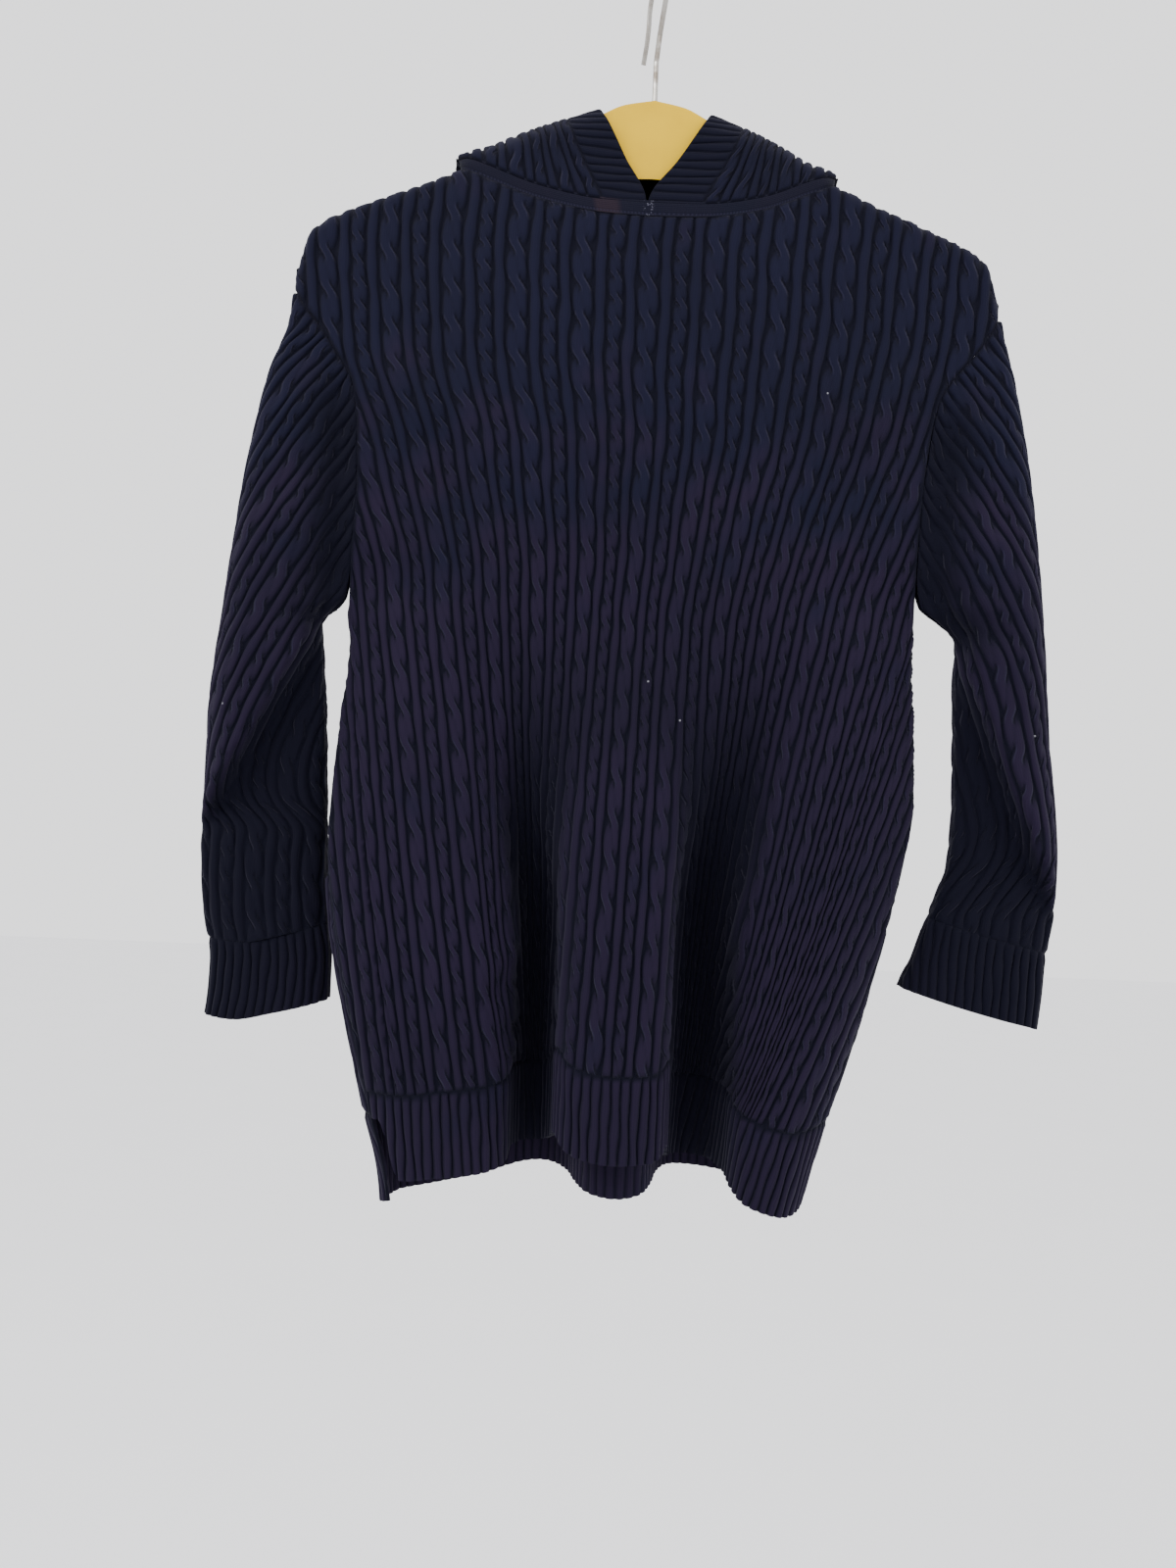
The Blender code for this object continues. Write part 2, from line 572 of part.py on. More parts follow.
def body_outline(panel, front):
    """The flat cut of a body panel: its points, and their ridge heights."""
    shares = FRONT_SHARES if front else BACK_SHARES
    neck = [neck_point(-share) for share in shares]
    neck += [neck_point(share) for share in shares[-2::-1]]
    right = [neck[-1][0] + NECK_STEPS[1], *SHOULDER_OUTS]
    left = [*[-x for x in SHOULDER_OUTS[::-1]], neck[0][0] - NECK_STEPS[0]]
    right, left = ([(x, ridge_height(x) - SHOULDER_DROP) for x in run] for run in (right, left))
    points = [(panel.across_at(x, z), z) for x, z in neck + right]
    points += [(armhole_end(panel, z, 1), z) for z in ARM_ROWS]
    low, high = hem_ends(panel, front)
    levels = [UNDERARM - 6, *[height for height in body_rows() if height < UNDERARM - 12]]
    levels.append(HEM_LINE_FRONT[0][1])
    right_side = [height for height in levels if height > high[1] + 4] + [high[1]]
    points += [(seam_end(panel, z, 1), z) for z in right_side]
    marks = rib_marks(low[0] + 1.5, high[0] - 1.5, RIB)[::-1]
    points += [(s, hem_height(panel, s, front)) for s in marks]
    left_side = [low[1], *[height for height in levels[::-1] if height > low[1] + 4]]
    points += [(seam_end(panel, z, -1), z) for z in left_side]
    points += [(armhole_end(panel, z, -1), z) for z in ARM_ROWS[::-1]]
    points += [(panel.across_at(x, z), z) for x, z in left]
    heights = np.zeros(len(points))
    first = len(neck) + len(right) + len(ARM_ROWS) + len(right_side)
    heights[first:first + len(marks)] = rib_wave(marks, RIB)
    return np.array(points, float), heights


def armhole_end(panel, height, side, gap=SEAM_GAP / 2):
    """Where the panel ends at an armhole, across the cloth."""
    x = float(through(ARMHOLE, height, 1 if side < 0 else 2))
    return panel.across_at(x - side * gap, height)


def seam_end(panel, height, side):
    """Where the panel ends at its side seam, across the cloth."""
    along = panel.slice(height)[0]
    index = int(np.argmin(np.abs(BODY_SAMPLES - side)))
    return along[index] - side * SEAM_GAP / 2


def hem_ends(panel, front):
    found = []
    for side in (-1, 1):
        height = float(through(HEM_LINE_FRONT if front else HEM_LINE_BACK, side))
        found.append((seam_end(panel, height, side), height))
    return found


def hem_height(panel, across, front):
    table = HEM_LINE_FRONT if front else HEM_LINE_BACK
    low, high = (seam_end(panel, -770, side) for side in (-1, 1))
    return float(through(table, across / (-low if across < 0 else high)))


def squared(normal, toward, height):
    """An edge normal at an armhole. It turns square to the front above the underarm."""
    share = float(ease(height, *ARM_TURN))
    mixed = normal * (1 - share) + np.array([0, toward, 0]) * share
    return mixed / np.linalg.norm(mixed)


def body_seams(front):
    """Edge normals of a body panel: square to the front at the armholes, and shared by both
    panels at the side seams."""
    toward = -1 if front else 1

    def turned(cloth, normal):
        found = normal.copy()
        for i, (across, height) in enumerate(cloth):
            side = -1 if across < 0 else 1
            if height > NECK_LOWEST and abs(across) < NECK_REACH:
                found[i] = (0, toward, 0)
            elif ARMHOLE_TOP >= height > UNDERARM and abs(across) > NECK_REACH:
                found[i] = squared(normal[i], toward, height)
            elif height <= UNDERARM and is_side(across, height, front):
                fold = float(ease(-height, -FOLD_TOP, -FOLD_BOTTOM))
                turn = SEAM_TURN[0 if side < 0 else 1] * fold
                found[i] = (side * math.cos(turn), -math.sin(turn), 0)
        return found

    return turned


def is_side(across, height, front):
    panel = FRONT if front else BACK
    side = -1 if across < 0 else 1
    return abs(across - seam_end(panel, height, side)) < 0.05


def keeps_to(toward):
    """Holds points of a shoulder on their own side of the shoulder seam."""

    def held(points, cloth):
        found = points.copy()
        high = cloth[:, 1] > FLAT_TO
        found[high, 1] = toward * np.maximum(toward * found[high, 1], SEAM_GAP / 2)
        return found

    return held


def hem_band_points(panel, front):
    """Ridge and groove points of the ribbed hem, in one row near its top."""
    low, high = (seam_end(panel, -740, side) for side in (-1, 1))
    marks = rib_marks(low, high, RIB)
    found = []
    for s in marks:
        tall = float(rib_wave(s, RIB))
        found.append((s, hem_height(panel, s, front) + HEM_BAND, tall))
    return np.array(found)


def loose(points):
    """Points that belong to no wale."""
    return np.column_stack([points, np.full(len(points), -1.0)])


def body_reach(panel):
    """A function that gives the ends of a body panel's slice, between armholes or side seams."""

    def reach_at(height):
        if height <= UNDERARM:
            return seam_end(panel, height, -1), seam_end(panel, height, 1)
        return [armhole_end(panel, height, side, gap=0) for side in (-1, 1)]

    return reach_at


def shoulder_points(panel, drops, columns):
    """Points that follow the shoulder line this far below it. columns holds places across the
    cloth and ridge heights."""
    found = []
    for across, tall in columns:
        x = float(panel.place(np.array([[across, -190.0]]))[0, 0])
        slope = (ridge_height(x + 0.5) - ridge_height(x - 0.5)) / 1.0
        for drop in drops:
            height = float(ridge_height(x) - drop * math.sqrt(1 + slope**2))
            found.append((panel.across_at(x, height), height, tall))
    return np.array(found)


def body_rows():
    """Heights of the rows of cable crossings. Every second one has all wales."""
    return np.arange(-150.0, -735, -CROSSING)


def straight_every(height):
    """The pitch, in rows, of the points down straight wales."""
    return 4 if height > FLAT_TO else 2


def body_panel(name, panel, front, finish):
    outline, heights = body_outline(panel, front)
    rows = body_rows()
    cables = cable_points(270, rows, chest_stretch, straight_every)
    if not front:
        cables = cables[np.isin(cables[:, 1], rows[::2])]
    places = panel.place(cables[:, :2])
    hem = np.array([hem_height(panel, across, front) for across in cables[:, 0]])
    clear = below_ridge(places[:, 0], places[:, 2]) > 12
    cables = cables[clear & (cables[:, 1] > hem + HEM_BAND + 8)]
    wales = cable_points(270, (-190.0,), chest_stretch)[:, [0, 2]]
    shoulder = shoulder_points(panel, (3.0, 8.0), wales * [1, 0.7])
    band = hem_band_points(panel, front)
    ridged = np.concatenate([cables, loose(band), loose(shoulder)])
    posts = [(across, 0.0) for across in spaced(-222, 222, 12)]
    reach_at = body_reach(panel)
    plain = np.concatenate([
        shoulder_points(panel, (2.0, 5.0, 10.0), posts)[:, :2],
        plain_rows(reach_at, (-250, -300, -350), 40),
        plain_rows(reach_at, (-384, -397, -410, -423), 18),
        plain_rows(reach_at, [height for height in rows[::2] if -450 > height > -700], 7),
        band[::2, :2],
    ])
    return wall(name, panel.place, outline, ridged, plain, finish, heights, flip=not front,
                seams=body_seams(front), kept_side=keeps_to(-1 if front else 1))


FRONT = Panel(lambda height: body_slice(height, True), len(BODY_SAMPLES) // 2)
BACK = Panel(lambda height: body_slice(height, False), len(BODY_SAMPLES) // 2)


# ---- sleeves ----


def sleeve_outline(panel, left):
    """The flat cut of a sleeve: the cap, the underarm edges and the cuff."""
    inset = SEAM_GAP / 2
    side = [height for height in SLEEVE_ROWS if height < SLEEVE_CORNER[-1]]
    end = float(through(CUFF_LINE, 1.0, 1 if left else 2))
    heights = [*ARM_ROWS, *SLEEVE_CORNER, *side, end + CUFF_BAND, end]
    right_edge = [(panel.ends(z)[1] - inset, z) for z in heights]
    left_edge = [(panel.ends(z)[0] + inset, z) for z in heights]
    low, high = panel.ends(-670)
    marks = rib_marks(low + 1.5, high - 1.5, RIB)
    cuff = [(s, cuff_height(s, low, high, left)) for s in marks[::-1]]
    points = [(0.0, -228.5), *right_edge, *cuff, *left_edge[::-1]]
    ridge = np.zeros(len(points))
    first = 1 + len(right_edge)
    ridge[first:first + len(marks)] = rib_wave(marks[::-1], RIB)
    return np.array(points, float), ridge


def cuff_height(across, low, high, left):
    return float(through(CUFF_LINE, abs(across) / max(-low, high), 1 if left else 2))


def sleeve_seams(left):
    inward = 1 if left else -1

    def turned(cloth, normal):
        found = normal.copy()
        for i, (across, height) in enumerate(cloth):
            toward = -1 if across > 0 else 1
            if height > ARM_TURN[0] and across != 0:
                found[i] = squared(normal[i], toward, height)
            elif height < -440 and abs(across) > 70 and abs(normal[i][2]) < 0.7:
                found[i] = found[i] * 0.3 + np.array([inward, 0, 0]) * 0.7
                found[i] /= np.linalg.norm(found[i])
        return found

    return turned


def sleeve(name, panel, left, finish):
    outline, heights = sleeve_outline(panel, left)
    cables = cable_points(130, SLEEVE_ROWS, lambda height: 1.0)
    low, high = panel.ends(-670)
    marks = rib_marks(low, high, RIB)
    band = np.array([
        (s, cuff_height(s, low, high, left) + CUFF_BAND, float(rib_wave(s, RIB))) for s in marks
    ])
    plain = np.concatenate([plain_rows(panel.ends, SLEEVE_ROWS, 7), band[1::3, :2]])
    return wall(name, panel.place, outline, np.concatenate([cables, loose(band)]), plain, finish,
                heights, flip=not left, seams=sleeve_seams(left))


SLEEVE_ANCHOR = len(SLEEVE_SAMPLES) - 1
LEFT = Panel(lambda height: sleeve_slice(height, True), SLEEVE_ANCHOR)
RIGHT = Panel(lambda height: sleeve_slice(height, False), SLEEVE_ANCHOR)


# ---- hood ----


def wale_stations(shares):
    """The stations of these wales of the left half: an array of station, axis, wale."""
    return np.array([
        [through([(row[0], row[k][axis]) for row in HOOD], shares) for axis in range(3)]
        for k in range(1, len(HOOD[0]))
    ])


def hood_place(cloth):
    """Places of hood points. Cloth coordinates: share of half the neck ring, from -1 at the left
    front over 0 at the back to 1 at the right front; and millimetres up from the ring."""
    share, up = cloth[:, 0], np.clip(cloth[:, 1], 0, HOOD_LENGTH) / HOOD_LENGTH
    wales = np.abs(share)
    stations = wale_stations(wales)
    steps = np.linalg.norm(np.diff(stations, axis=0), axis=1)
    along = np.concatenate([np.zeros((1, len(share))), np.cumsum(steps, axis=0)])
    slopes = np.diff(stations, axis=0) / steps[:, None, :]
    ends = steps[:-1, None, :] + steps[1:, None, :]
    middle = (slopes[1:] * steps[:-1, None, :] + slopes[:-1] * steps[1:, None, :]) / ends
    tangents = np.concatenate([slopes[:1], middle, slopes[-1:]])
    place = up * along[-1]
    i = np.clip((along <= place).sum(axis=0) - 1, 0, len(steps) - 1)
    wale = np.arange(len(share))
    step = steps[i, wale]
    f = (place - along[i, wale]) / step
    found = np.empty((len(share), 3))
    for axis in range(3):
        start, end = stations[i, axis, wale], stations[i + 1, axis, wale]
        leave, arrive = tangents[i, axis, wale], tangents[i + 1, axis, wale]
        found[:, axis] = (
            start * (1 + 2 * f) * (1 - f) ** 2 + end * (3 - 2 * f) * f**2
            + step * (leave * f * (1 - f) ** 2 - arrive * f**2 * (1 - f))
        )
    found[:, 0] = np.minimum(found[:, 0], -SEAM_GAP / 2)
    shift = 2 * MIDDLE * ease(wales, 0.9, 1) * (1 - ease(up, 0, 0.2))
    reach = HOOD_RIGHT[0] + (HOOD_RIGHT[1] - HOOD_RIGHT[0]) * ease(-found[:, 0], 40, 110)
    found[:, 0] = np.where(share > 0, shift - found[:, 0] * reach, found[:, 0])
    found[:, 2] -= TILT * found[:, 0]
    return found


HALF_RING = 265.0  # millimetres of neck ring on each side


def hood_cloth(cloth):
    """As hood_place, with millimetres across in place of a share."""
    scaled = cloth.copy()
    scaled[:, 0] = np.clip(cloth[:, 0] / HALF_RING, -1, 1)
    return hood_place(scaled)


def crown_seams(cloth, normal):
    """Both crown edges stand square to the middle plane, so they meet face to face."""
    found = normal.copy()
    at_crown = cloth[:, 1] > HOOD_LENGTH - 1
    found[at_crown, 0] *= 0.05
    return found / np.linalg.norm(found, axis=1)[:, None]


def beside_crown(points, cloth):
    """Keeps the two halves on their own sides of the crown seam."""
    found = points.copy()
    near = cloth[:, 1] > HOOD_LENGTH - 40
    left = cloth[:, 0] < 0
    limit = SEAM_GAP / 2
    found[near & left, 0] = np.minimum(found[near & left, 0], -limit)
    found[near & ~left, 0] = np.maximum(found[near & ~left, 0], limit)
    return found


def rim_rows():
    """Distances up the hood where the edges of the hood and its border have points."""
    low, high = TAPE_WIDTH + SEAM_GAP / 2, HOOD_LENGTH - SEAM_GAP
    return [*spaced(low, 62, 13), *spaced(70, 134, 8), *spaced(148, high, 16)]


def ring_shares(below=1.0):
    """Shares where the pieces round the neck have points, from the middle of the back."""
    shares = [*BACK_SHARES[::-1], *POINT_SHARES, *FRONT_SHARES]
    return [share for share in shares if share < below]


def hood(finish):
    reach = HALF_RING * (1 - BORDER_SHARE) - SEAM_GAP / 2
    half = [HALF_RING * share for share in ring_shares(1 - BORDER_SHARE)]
    columns = [-reach, *[-s for s in half[::-1]], *half[1:], reach]
    rows = rim_rows()
    base, top = rows[0], rows[-1]
    outline = [(s, base) for s in columns]
    outline += [(reach, up) for up in rows[1:-1]]
    crown = spaced(reach, SEAM_GAP, 13)
    outline += [(s, top) for s in (*crown, *[-s for s in crown[::-1]])]
    outline += [(-reach, up) for up in rows[-2:0:-1]]
    cables = cable_points(270, HOOD_ROWS, lambda height: 1.0)
    shows = np.abs(cables[:, 0]) > HOOD_PLAIN * HALF_RING
    cables = cables[shows & (cables[:, 2] > 0), :3]
    cables[cables[:, 2] == 1.0, 2] = 0.0
    calm = ease(cables[:, 1], 220, HOOD_LENGTH)
    cables[:, 2] *= 1 - (1 - CROWN_CALM) * calm
    hidden = [
        (side * s, up, 0.0) for side in (-1, 1) for s in HIDDEN_WALES for up in HIDDEN_ROWS
    ]
    hidden += [(0.0, up, 0.0) for up in HIDDEN_ROWS]
    corners = [
        (side * share * HALF_RING, up, 0.0)
        for side in (-1, 1) for share in (*POINT_SHARES[2:], 0.54, 0.57)
        for up in (14.5, 18.0, 21.5)
    ]
    cables = np.concatenate([cables, hidden, corners])
    plain = cables[:, :2]
    return wall("hood", hood_cloth, outline, cables, plain, finish, np.zeros(len(outline)),
                flip=True, seams=crown_seams, kept_side=beside_crown)


def border_place(cloth):
    """Border points: millimetres in from the hood's edge, and along it from the left front over
    the crown to the right front."""
    left = cloth[:, 1] < HOOD_LENGTH
    up = np.where(left, cloth[:, 1], 2 * HOOD_LENGTH - cloth[:, 1])
    share = 1 - np.clip(cloth[:, 0], 0, None) / HALF_RING
    return hood_place(np.column_stack([np.where(left, -share, share), up]))


def hood_border(finish):
    wide = HALF_RING * BORDER_SHARE - SEAM_GAP / 2
    rows = rim_rows()
    edge = [*rows, *[2 * HOOD_LENGTH - up for up in rows[::-1]]]
    outline = [(0.0, c) for c in edge] + [(wide, c) for c in edge[::-1]]
    marks = np.arange(edge[0] + BORDER_RIB / 2, edge[-1] - 1, BORDER_RIB / 2)
    ridged = np.array([
        (across, c, float(rib_wave(c - edge[0], BORDER_RIB, 1.1)))
        for c in marks for across in (wide * 0.2, wide * 0.8)
    ])
    plain = np.array([(wide / 2, c) for c in spaced(edge[0] + 8, edge[-1] - 8, 14)])
    return wall("hood_border", border_place, outline, ridged, plain, finish,
                np.zeros(len(outline)), flip=True)


def tape_dip(across):
    """How much lower the tape's upper edge is, next to the neck points."""
    away = abs(abs(abs(across) / HALF_RING - 1) - 0.5)
    return TAPE_DIP * float(1 - ease(away, 0.04, 0.1))


def neck_tape(finish):
    """The flat band over the neck seam, from the middle of the back past the right, the front and
    the left to the middle of the back again."""

    def place(cloth):
        share = cloth[:, 0] / HALF_RING
        around = np.where(share < -1, share + 2, share)
        return hood_place(np.column_stack([around, cloth[:, 1]]))

    low, high = SEAM_GAP, TAPE_WIDTH - SEAM_GAP / 2
    half = [HALF_RING * share for share in ring_shares()][1:]
    right = [s - 2 * HALF_RING for s in half]
    left = [-s for s in half[::-1]]
    slit = SEAM_GAP * 2
    edge = [slit - 2 * HALF_RING, *right, -HALF_RING, *left, -slit]
    outline = [(s, low) for s in edge] + [(s, high - tape_dip(s)) for s in edge[::-1]]
    ridged = np.array([(-HALF_RING, (low + high) / 2, 0.2)])
    plain = ridged[:, :2]
    return wall("neck_tape", place, outline, ridged, plain, finish, np.full(len(outline), 0.2),
                flip=True, margin=0.5)


# ---- hanger ----


def hanger_body(finish):
    """The flat hanger: its outline, thickened front and back, with a bore for the hook."""
    outs = [0, 10, 20, 28, 35, 46, 60, 78, 100, 124, 148, 168, 185, 196, 205]
    top = [(x, float(through(HANGER, x, 1))) for x in outs]
    bottom = [(x, float(through(HANGER, x, 2))) for x in outs[::2]]
    tip = [
        (HANGER_END - TIP_RADIUS + TIP_RADIUS * math.cos(a), TIP_HEIGHT + TIP_RADIUS * math.sin(a))
        for a in np.linspace(math.radians(60), math.radians(-60), 6)
    ]
    right = top + tip + bottom[::-1]
    ring = right + [(-x, z) for x, z in right[::-1] if x > 0]
    ring = [(x, z - TILT * x) for x, z in ring]
    middle = np.array(ring)
    half, flat = HANGER_THICK / 2, HANGER_THICK / 2 - HANGER_ROUNDING
    levels = ((-half, HANGER_ROUNDING), (-flat, 0.0), (flat, 0.0), (half, HANGER_ROUNDING))
    points, faces = [], []
    inward = inset_directions(middle)
    for y, inset in levels:
        points += [(x, y, z) for x, z in middle + inward * inset]
    count = len(ring)
    for level in range(len(levels) - 1):
        for i in range(count):
            j = (i + 1) % count
            a, b = level * count + i, level * count + j
            faces.append((a, b, b + count, a + count))
    faces.append(tuple(range(count))[::-1])
    faces.append(tuple(range(3 * count, 4 * count)))
    made = add_object("hanger_body", points, faces, finish)
    bore = cylinder("bore_cutter", HOOK_WIRE / 2 + SEAM_GAP, STEM_FOOT - BORE_DEEP, BORE_TOP)
    bore.hide_render = True
    bore.display_type = "WIRE"
    cut = made.modifiers.new("bore", "BOOLEAN")
    cut.object = bore
    cut.operation = "DIFFERENCE"
    return made


def inset_directions(ring):
    """Unit vectors from each point of a clockwise ring to its inside."""
    ahead, behind = np.roll(ring, -1, axis=0), np.roll(ring, 1, axis=0)
    along = ahead - behind
    inward = np.column_stack([along[:, 1], -along[:, 0]])
    return inward / np.linalg.norm(inward, axis=1)[:, None]


def cylinder(name, radius, low, high, sides=16):
    points, faces = [], []
    for z in (low, high):
        for k in range(sides):
            angle = 2 * math.pi * k / sides
            points.append((radius * math.cos(angle), radius * math.sin(angle), z))
    for k in range(sides):
        j = (k + 1) % sides
        faces.append((k, j, sides + j, sides + k))
    faces.append(tuple(range(sides))[::-1])
    faces.append(tuple(range(sides, 2 * sides)))
    return add_object(name, points, faces)


def hook_route():
    """The wire's middle line: a stem, an arch to the back and a tip, in one turned plane."""
    radius = HOOK_RADIUS + HOOK_WIRE / 2
    centre = -HOOK_RADIUS
    arc = [
        (radius - radius * math.cos(a), centre + radius * math.sin(a))
        for a in np.linspace(*HOOK_ARC, 17)
    ]
    out, z = arc[-1]
    flat = np.array([*[(0, z) for z in STEM_HEIGHTS], *arc, (out - 1.5, z - 9), (out - 2, z - 18)])
    top = flat[:, 0][flat[:, 1].argmax()]
    out = flat[:, 0] - top * ease(flat[:, 1], *HOOK_LEAN)
    return np.column_stack([-out * math.sin(HOOK_TURN), out * math.cos(HOOK_TURN), flat[:, 1]])


def hanger_hook(finish):
    """The wire hook. Its inner top is the origin."""
    route = hook_route()
    curve = bpy.data.curves.new("hanger_hook", "CURVE")
    curve.dimensions = "3D"
    spline = curve.splines.new("POLY")
    spline.points.add(len(route) - 1)
    for point, place in zip(spline.points, route):
        point.co = (*(place * MM), 1)
    curve.bevel_depth = HOOK_WIRE / 2 * MM
    curve.bevel_resolution = 2
    curve.use_fill_caps = True
    curve.materials.append(finish)
    made = bpy.data.objects.new("hanger_hook", curve)
    bpy.context.scene.collection.objects.link(made)
    return made


def main():
    clear_scene()
    hanger_body(material("hanger_plastic", YELLOW, 0.45))
    hanger_hook(material("hook_steel", STEEL, 0.35, 1.0))
    body_panel("front", FRONT, True, material("front_knit", NAVY, 0.9))
    body_panel("back", BACK, False, material("back_knit", NAVY, 0.9))
    sleeve("sleeve_left", LEFT, True, material("sleeve_left_knit", NAVY, 0.9))
    sleeve("sleeve_right", RIGHT, False, material("sleeve_right_knit", NAVY, 0.9))
    hood(material("hood_knit", NAVY, 0.9))
    hood_border(material("border_knit", NAVY, 0.9))
    neck_tape(material("tape_cotton", TAPE_NAVY, 0.85))


main()
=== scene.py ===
"""Looks of the hooded sweater on its hanger: knitted cloth, seams, plastic, wire and light.

Lengths are in millimetres until a mesh is made. From the front, x runs to the right, y away and z up.
Cloth coordinates are the distance across the cloth, and the height."""

import itertools
import json
import math

import bpy
import numpy as np
from mathutils import Matrix, Vector

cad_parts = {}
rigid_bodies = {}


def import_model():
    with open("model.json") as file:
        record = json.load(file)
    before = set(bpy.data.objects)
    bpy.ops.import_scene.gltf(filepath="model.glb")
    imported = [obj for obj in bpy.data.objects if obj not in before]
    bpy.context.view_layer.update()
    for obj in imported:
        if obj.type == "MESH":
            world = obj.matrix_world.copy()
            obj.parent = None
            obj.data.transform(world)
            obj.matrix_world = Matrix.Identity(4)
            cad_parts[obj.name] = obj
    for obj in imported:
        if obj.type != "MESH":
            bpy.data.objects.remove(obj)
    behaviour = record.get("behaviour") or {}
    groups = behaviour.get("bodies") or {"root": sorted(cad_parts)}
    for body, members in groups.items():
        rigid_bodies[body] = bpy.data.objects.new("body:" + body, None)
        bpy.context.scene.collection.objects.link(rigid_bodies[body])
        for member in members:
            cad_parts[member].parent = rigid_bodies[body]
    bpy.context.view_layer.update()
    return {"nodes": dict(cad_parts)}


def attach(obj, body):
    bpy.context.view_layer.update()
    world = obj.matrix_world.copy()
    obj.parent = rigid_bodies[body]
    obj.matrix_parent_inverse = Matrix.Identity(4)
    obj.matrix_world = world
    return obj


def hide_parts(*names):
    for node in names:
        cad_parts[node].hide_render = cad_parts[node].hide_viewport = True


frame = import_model()

# ---- sizes ----

MM = 0.001
REPEAT = 36.0  # one repeat of cables and ribs across the cloth
REPEAT_START = 7.2  # how far a repeat starts before the middle of its big cable
RIDGE = 2.0  # height of the cables and ribs over the grooves
# The two cables of a repeat: place of the middle, half the width
BIG, SMALL = (0.0, 5.4), (18.0, 3.9)
# Their ropes: from one crossing to the next, swing of a strand, half its width, its height
BIG_ROPE, SMALL_ROPE = (24.5, 2.35, 3.15, RIDGE), (15.0, 1.6, 2.35, RIDGE * 0.9)
RIBS = ((9.75, 3.0), (26.25, 3.0))  # the two ribs of a repeat: middle, half the width
# Where points stand across a repeat, and across one plain rib as shares of it
MARKS = (
    -5.9, -5.3, -4.6, -3.2, -1.6, 0.0, 1.6, 3.2, 4.6, 5.3, 5.9,
    6.7, 7.5, 9.75, 12.0, 12.8, 13.45, 14.1, 14.9, 16.2, 17.4, 18.6, 19.8, 21.1, 21.9, 22.55,
    23.2, 24.0, 26.25, 28.5, 29.3,
)
RIB_MARKS = (-0.5, -0.4, -0.27, 0, 0.27, 0.4)
WALE_REACH, WALE_STEP = 440.0, 2.0  # the wales are known this far from the middle, at these steps
RIB, BORDER_RIB = 5.7, 6.2  # one rib of the hem and the cuffs, and of the hood's border
FLOOR = -0.6  # the bottom of the grooves, from the middle of the cloth
INSIDE = -1.0  # the plain inner face
STEP_UP, STEP_ACROSS = 1.0, 0.5  # steps of the grids that hold the hanging forms
TAPE_WIDTH = 10.0
UNDER_TAPE = TAPE_WIDTH - 1.2  # the hood and its border start here, under the tape's edge
SEWN_AT = (1.4, 8.8)  # the tape's two rows of stitching
TILT = 0.0125  # the hanger hangs this much lower on the right, as a slope
HANGER_THICK, HANGER_END = 11.0, 210.0
HANGER_SOFT = 2.6  # radius of the hanger's edges
HANGER_TIP = (-191.0, 7.0)  # its ends: height of the middle, radius
HEM_BAND, CUFF_BAND = 50.0, 48.0
OVERLAP = 0.5  # the cloth reaches this far under the top of its band
HEM_LEVEL, CUFF_LEVEL = -770.0, -670.0  # where the hem's and the cuffs' reach is taken
SHOULDER_END = 226.0
SEAM_CREST = 1.2  # the shoulder seams stand up this much, where front and back meet
SLEEVE_TOP = -225.9  # the front and the back of a sleeve meet here
BORDER_SHARE = 0.1  # of half the neck ring, which the ribbed border of the hood takes
HALF_RING = 265.0
NECK_SHARES = np.linspace(0.5, 1.0, 60)
FOLD_DROP = 7.0  # the step of the sleeves' slanting folds takes this much
SEAM_CLOSE, CAP_RISE = 22.0, 40.0  # a sleeve's layers close and its cap rises over this much
# From the armhole's top and foot: depths below the hook between which the seam starts and stops
ARMHOLE_START, ARMHOLE_STOP = (262, 315), (432, 460)
# The painted shade in the two valleys: how far forward it ends, how far down it starts, its sides
VALLEY_FRONT, VALLEY_TOP, VALLEY_SIDES = (-48, -24), (420, 560), (72, 88)
HOOD_RIGHT = (1.04, 0.95)  # the right half's reach over the left's, at the rim and outermost

# ---- colours ----

NAVY, PURPLE = (0.0030, 0.0033, 0.0138), (0.0084, 0.0048, 0.0168)
# The darkest navy: random deeper patches, the tape's weave, and painted shade in grooves and hollows
DEEP = (0.0002, 0.0003, 0.0044)
# A paler tone: the painted highlight at the cable crossings, and the tape's stitching thread
HIGHLIGHT_AND_THREAD = (0.015, 0.014, 0.032)
LINT = (0.35, 0.35, 0.38)
SHEEN = (0.42, 0.40, 0.62)
TAPE_TONES = ((0.0016, 0.0021, 0.0085), (0.0030, 0.0024, 0.0090))
FADED, FADED_AT = (0.013, 0.007, 0.012), -241.0  # a little to the left of the front's middle
FLECK, FLECKS_AT = (0.2, 0.2, 0.26), -266.0
YELLOW, OCHRE, SCRATCH = (0.55, 0.34, 0.0), (0.46, 0.275, 0.001), (0.62, 0.44, 0.06)
STEEL_TONES = ((0.36, 0.345, 0.32), (0.2, 0.17, 0.14))
FLOOR_TONES = ((0.93, 0.93, 0.94), (0.9, 0.9, 0.915))
WORLD_TONE, WORLD_STRENGTH = (0.86, 0.86, 0.875, 1), 2.05

# ---- stage sizes, in metres ----

CAMERA_LENS, CAMERA_SENSOR = 27.05, 36.0
CAMERA_AT = (-0.0257, -0.75, -0.569)
CAMERA_PITCH, CAMERA_ROLL = math.radians(2.5), math.radians(2.3)
# Name, place, the point it is turned to, size, power
LIGHTS = (
    ("key", (-1.5, -1.7, 1.3), (0, 0, -0.35), 1.6, 70),
    ("fill", (1.9, -1.5, 0.5), (0, 0, -0.45), 1.4, 25),
)
FLOOR_CORNERS, FLOOR_LEVEL = ((-9, -5), (9, -5), (9, 13), (-9, 13)), -2.0
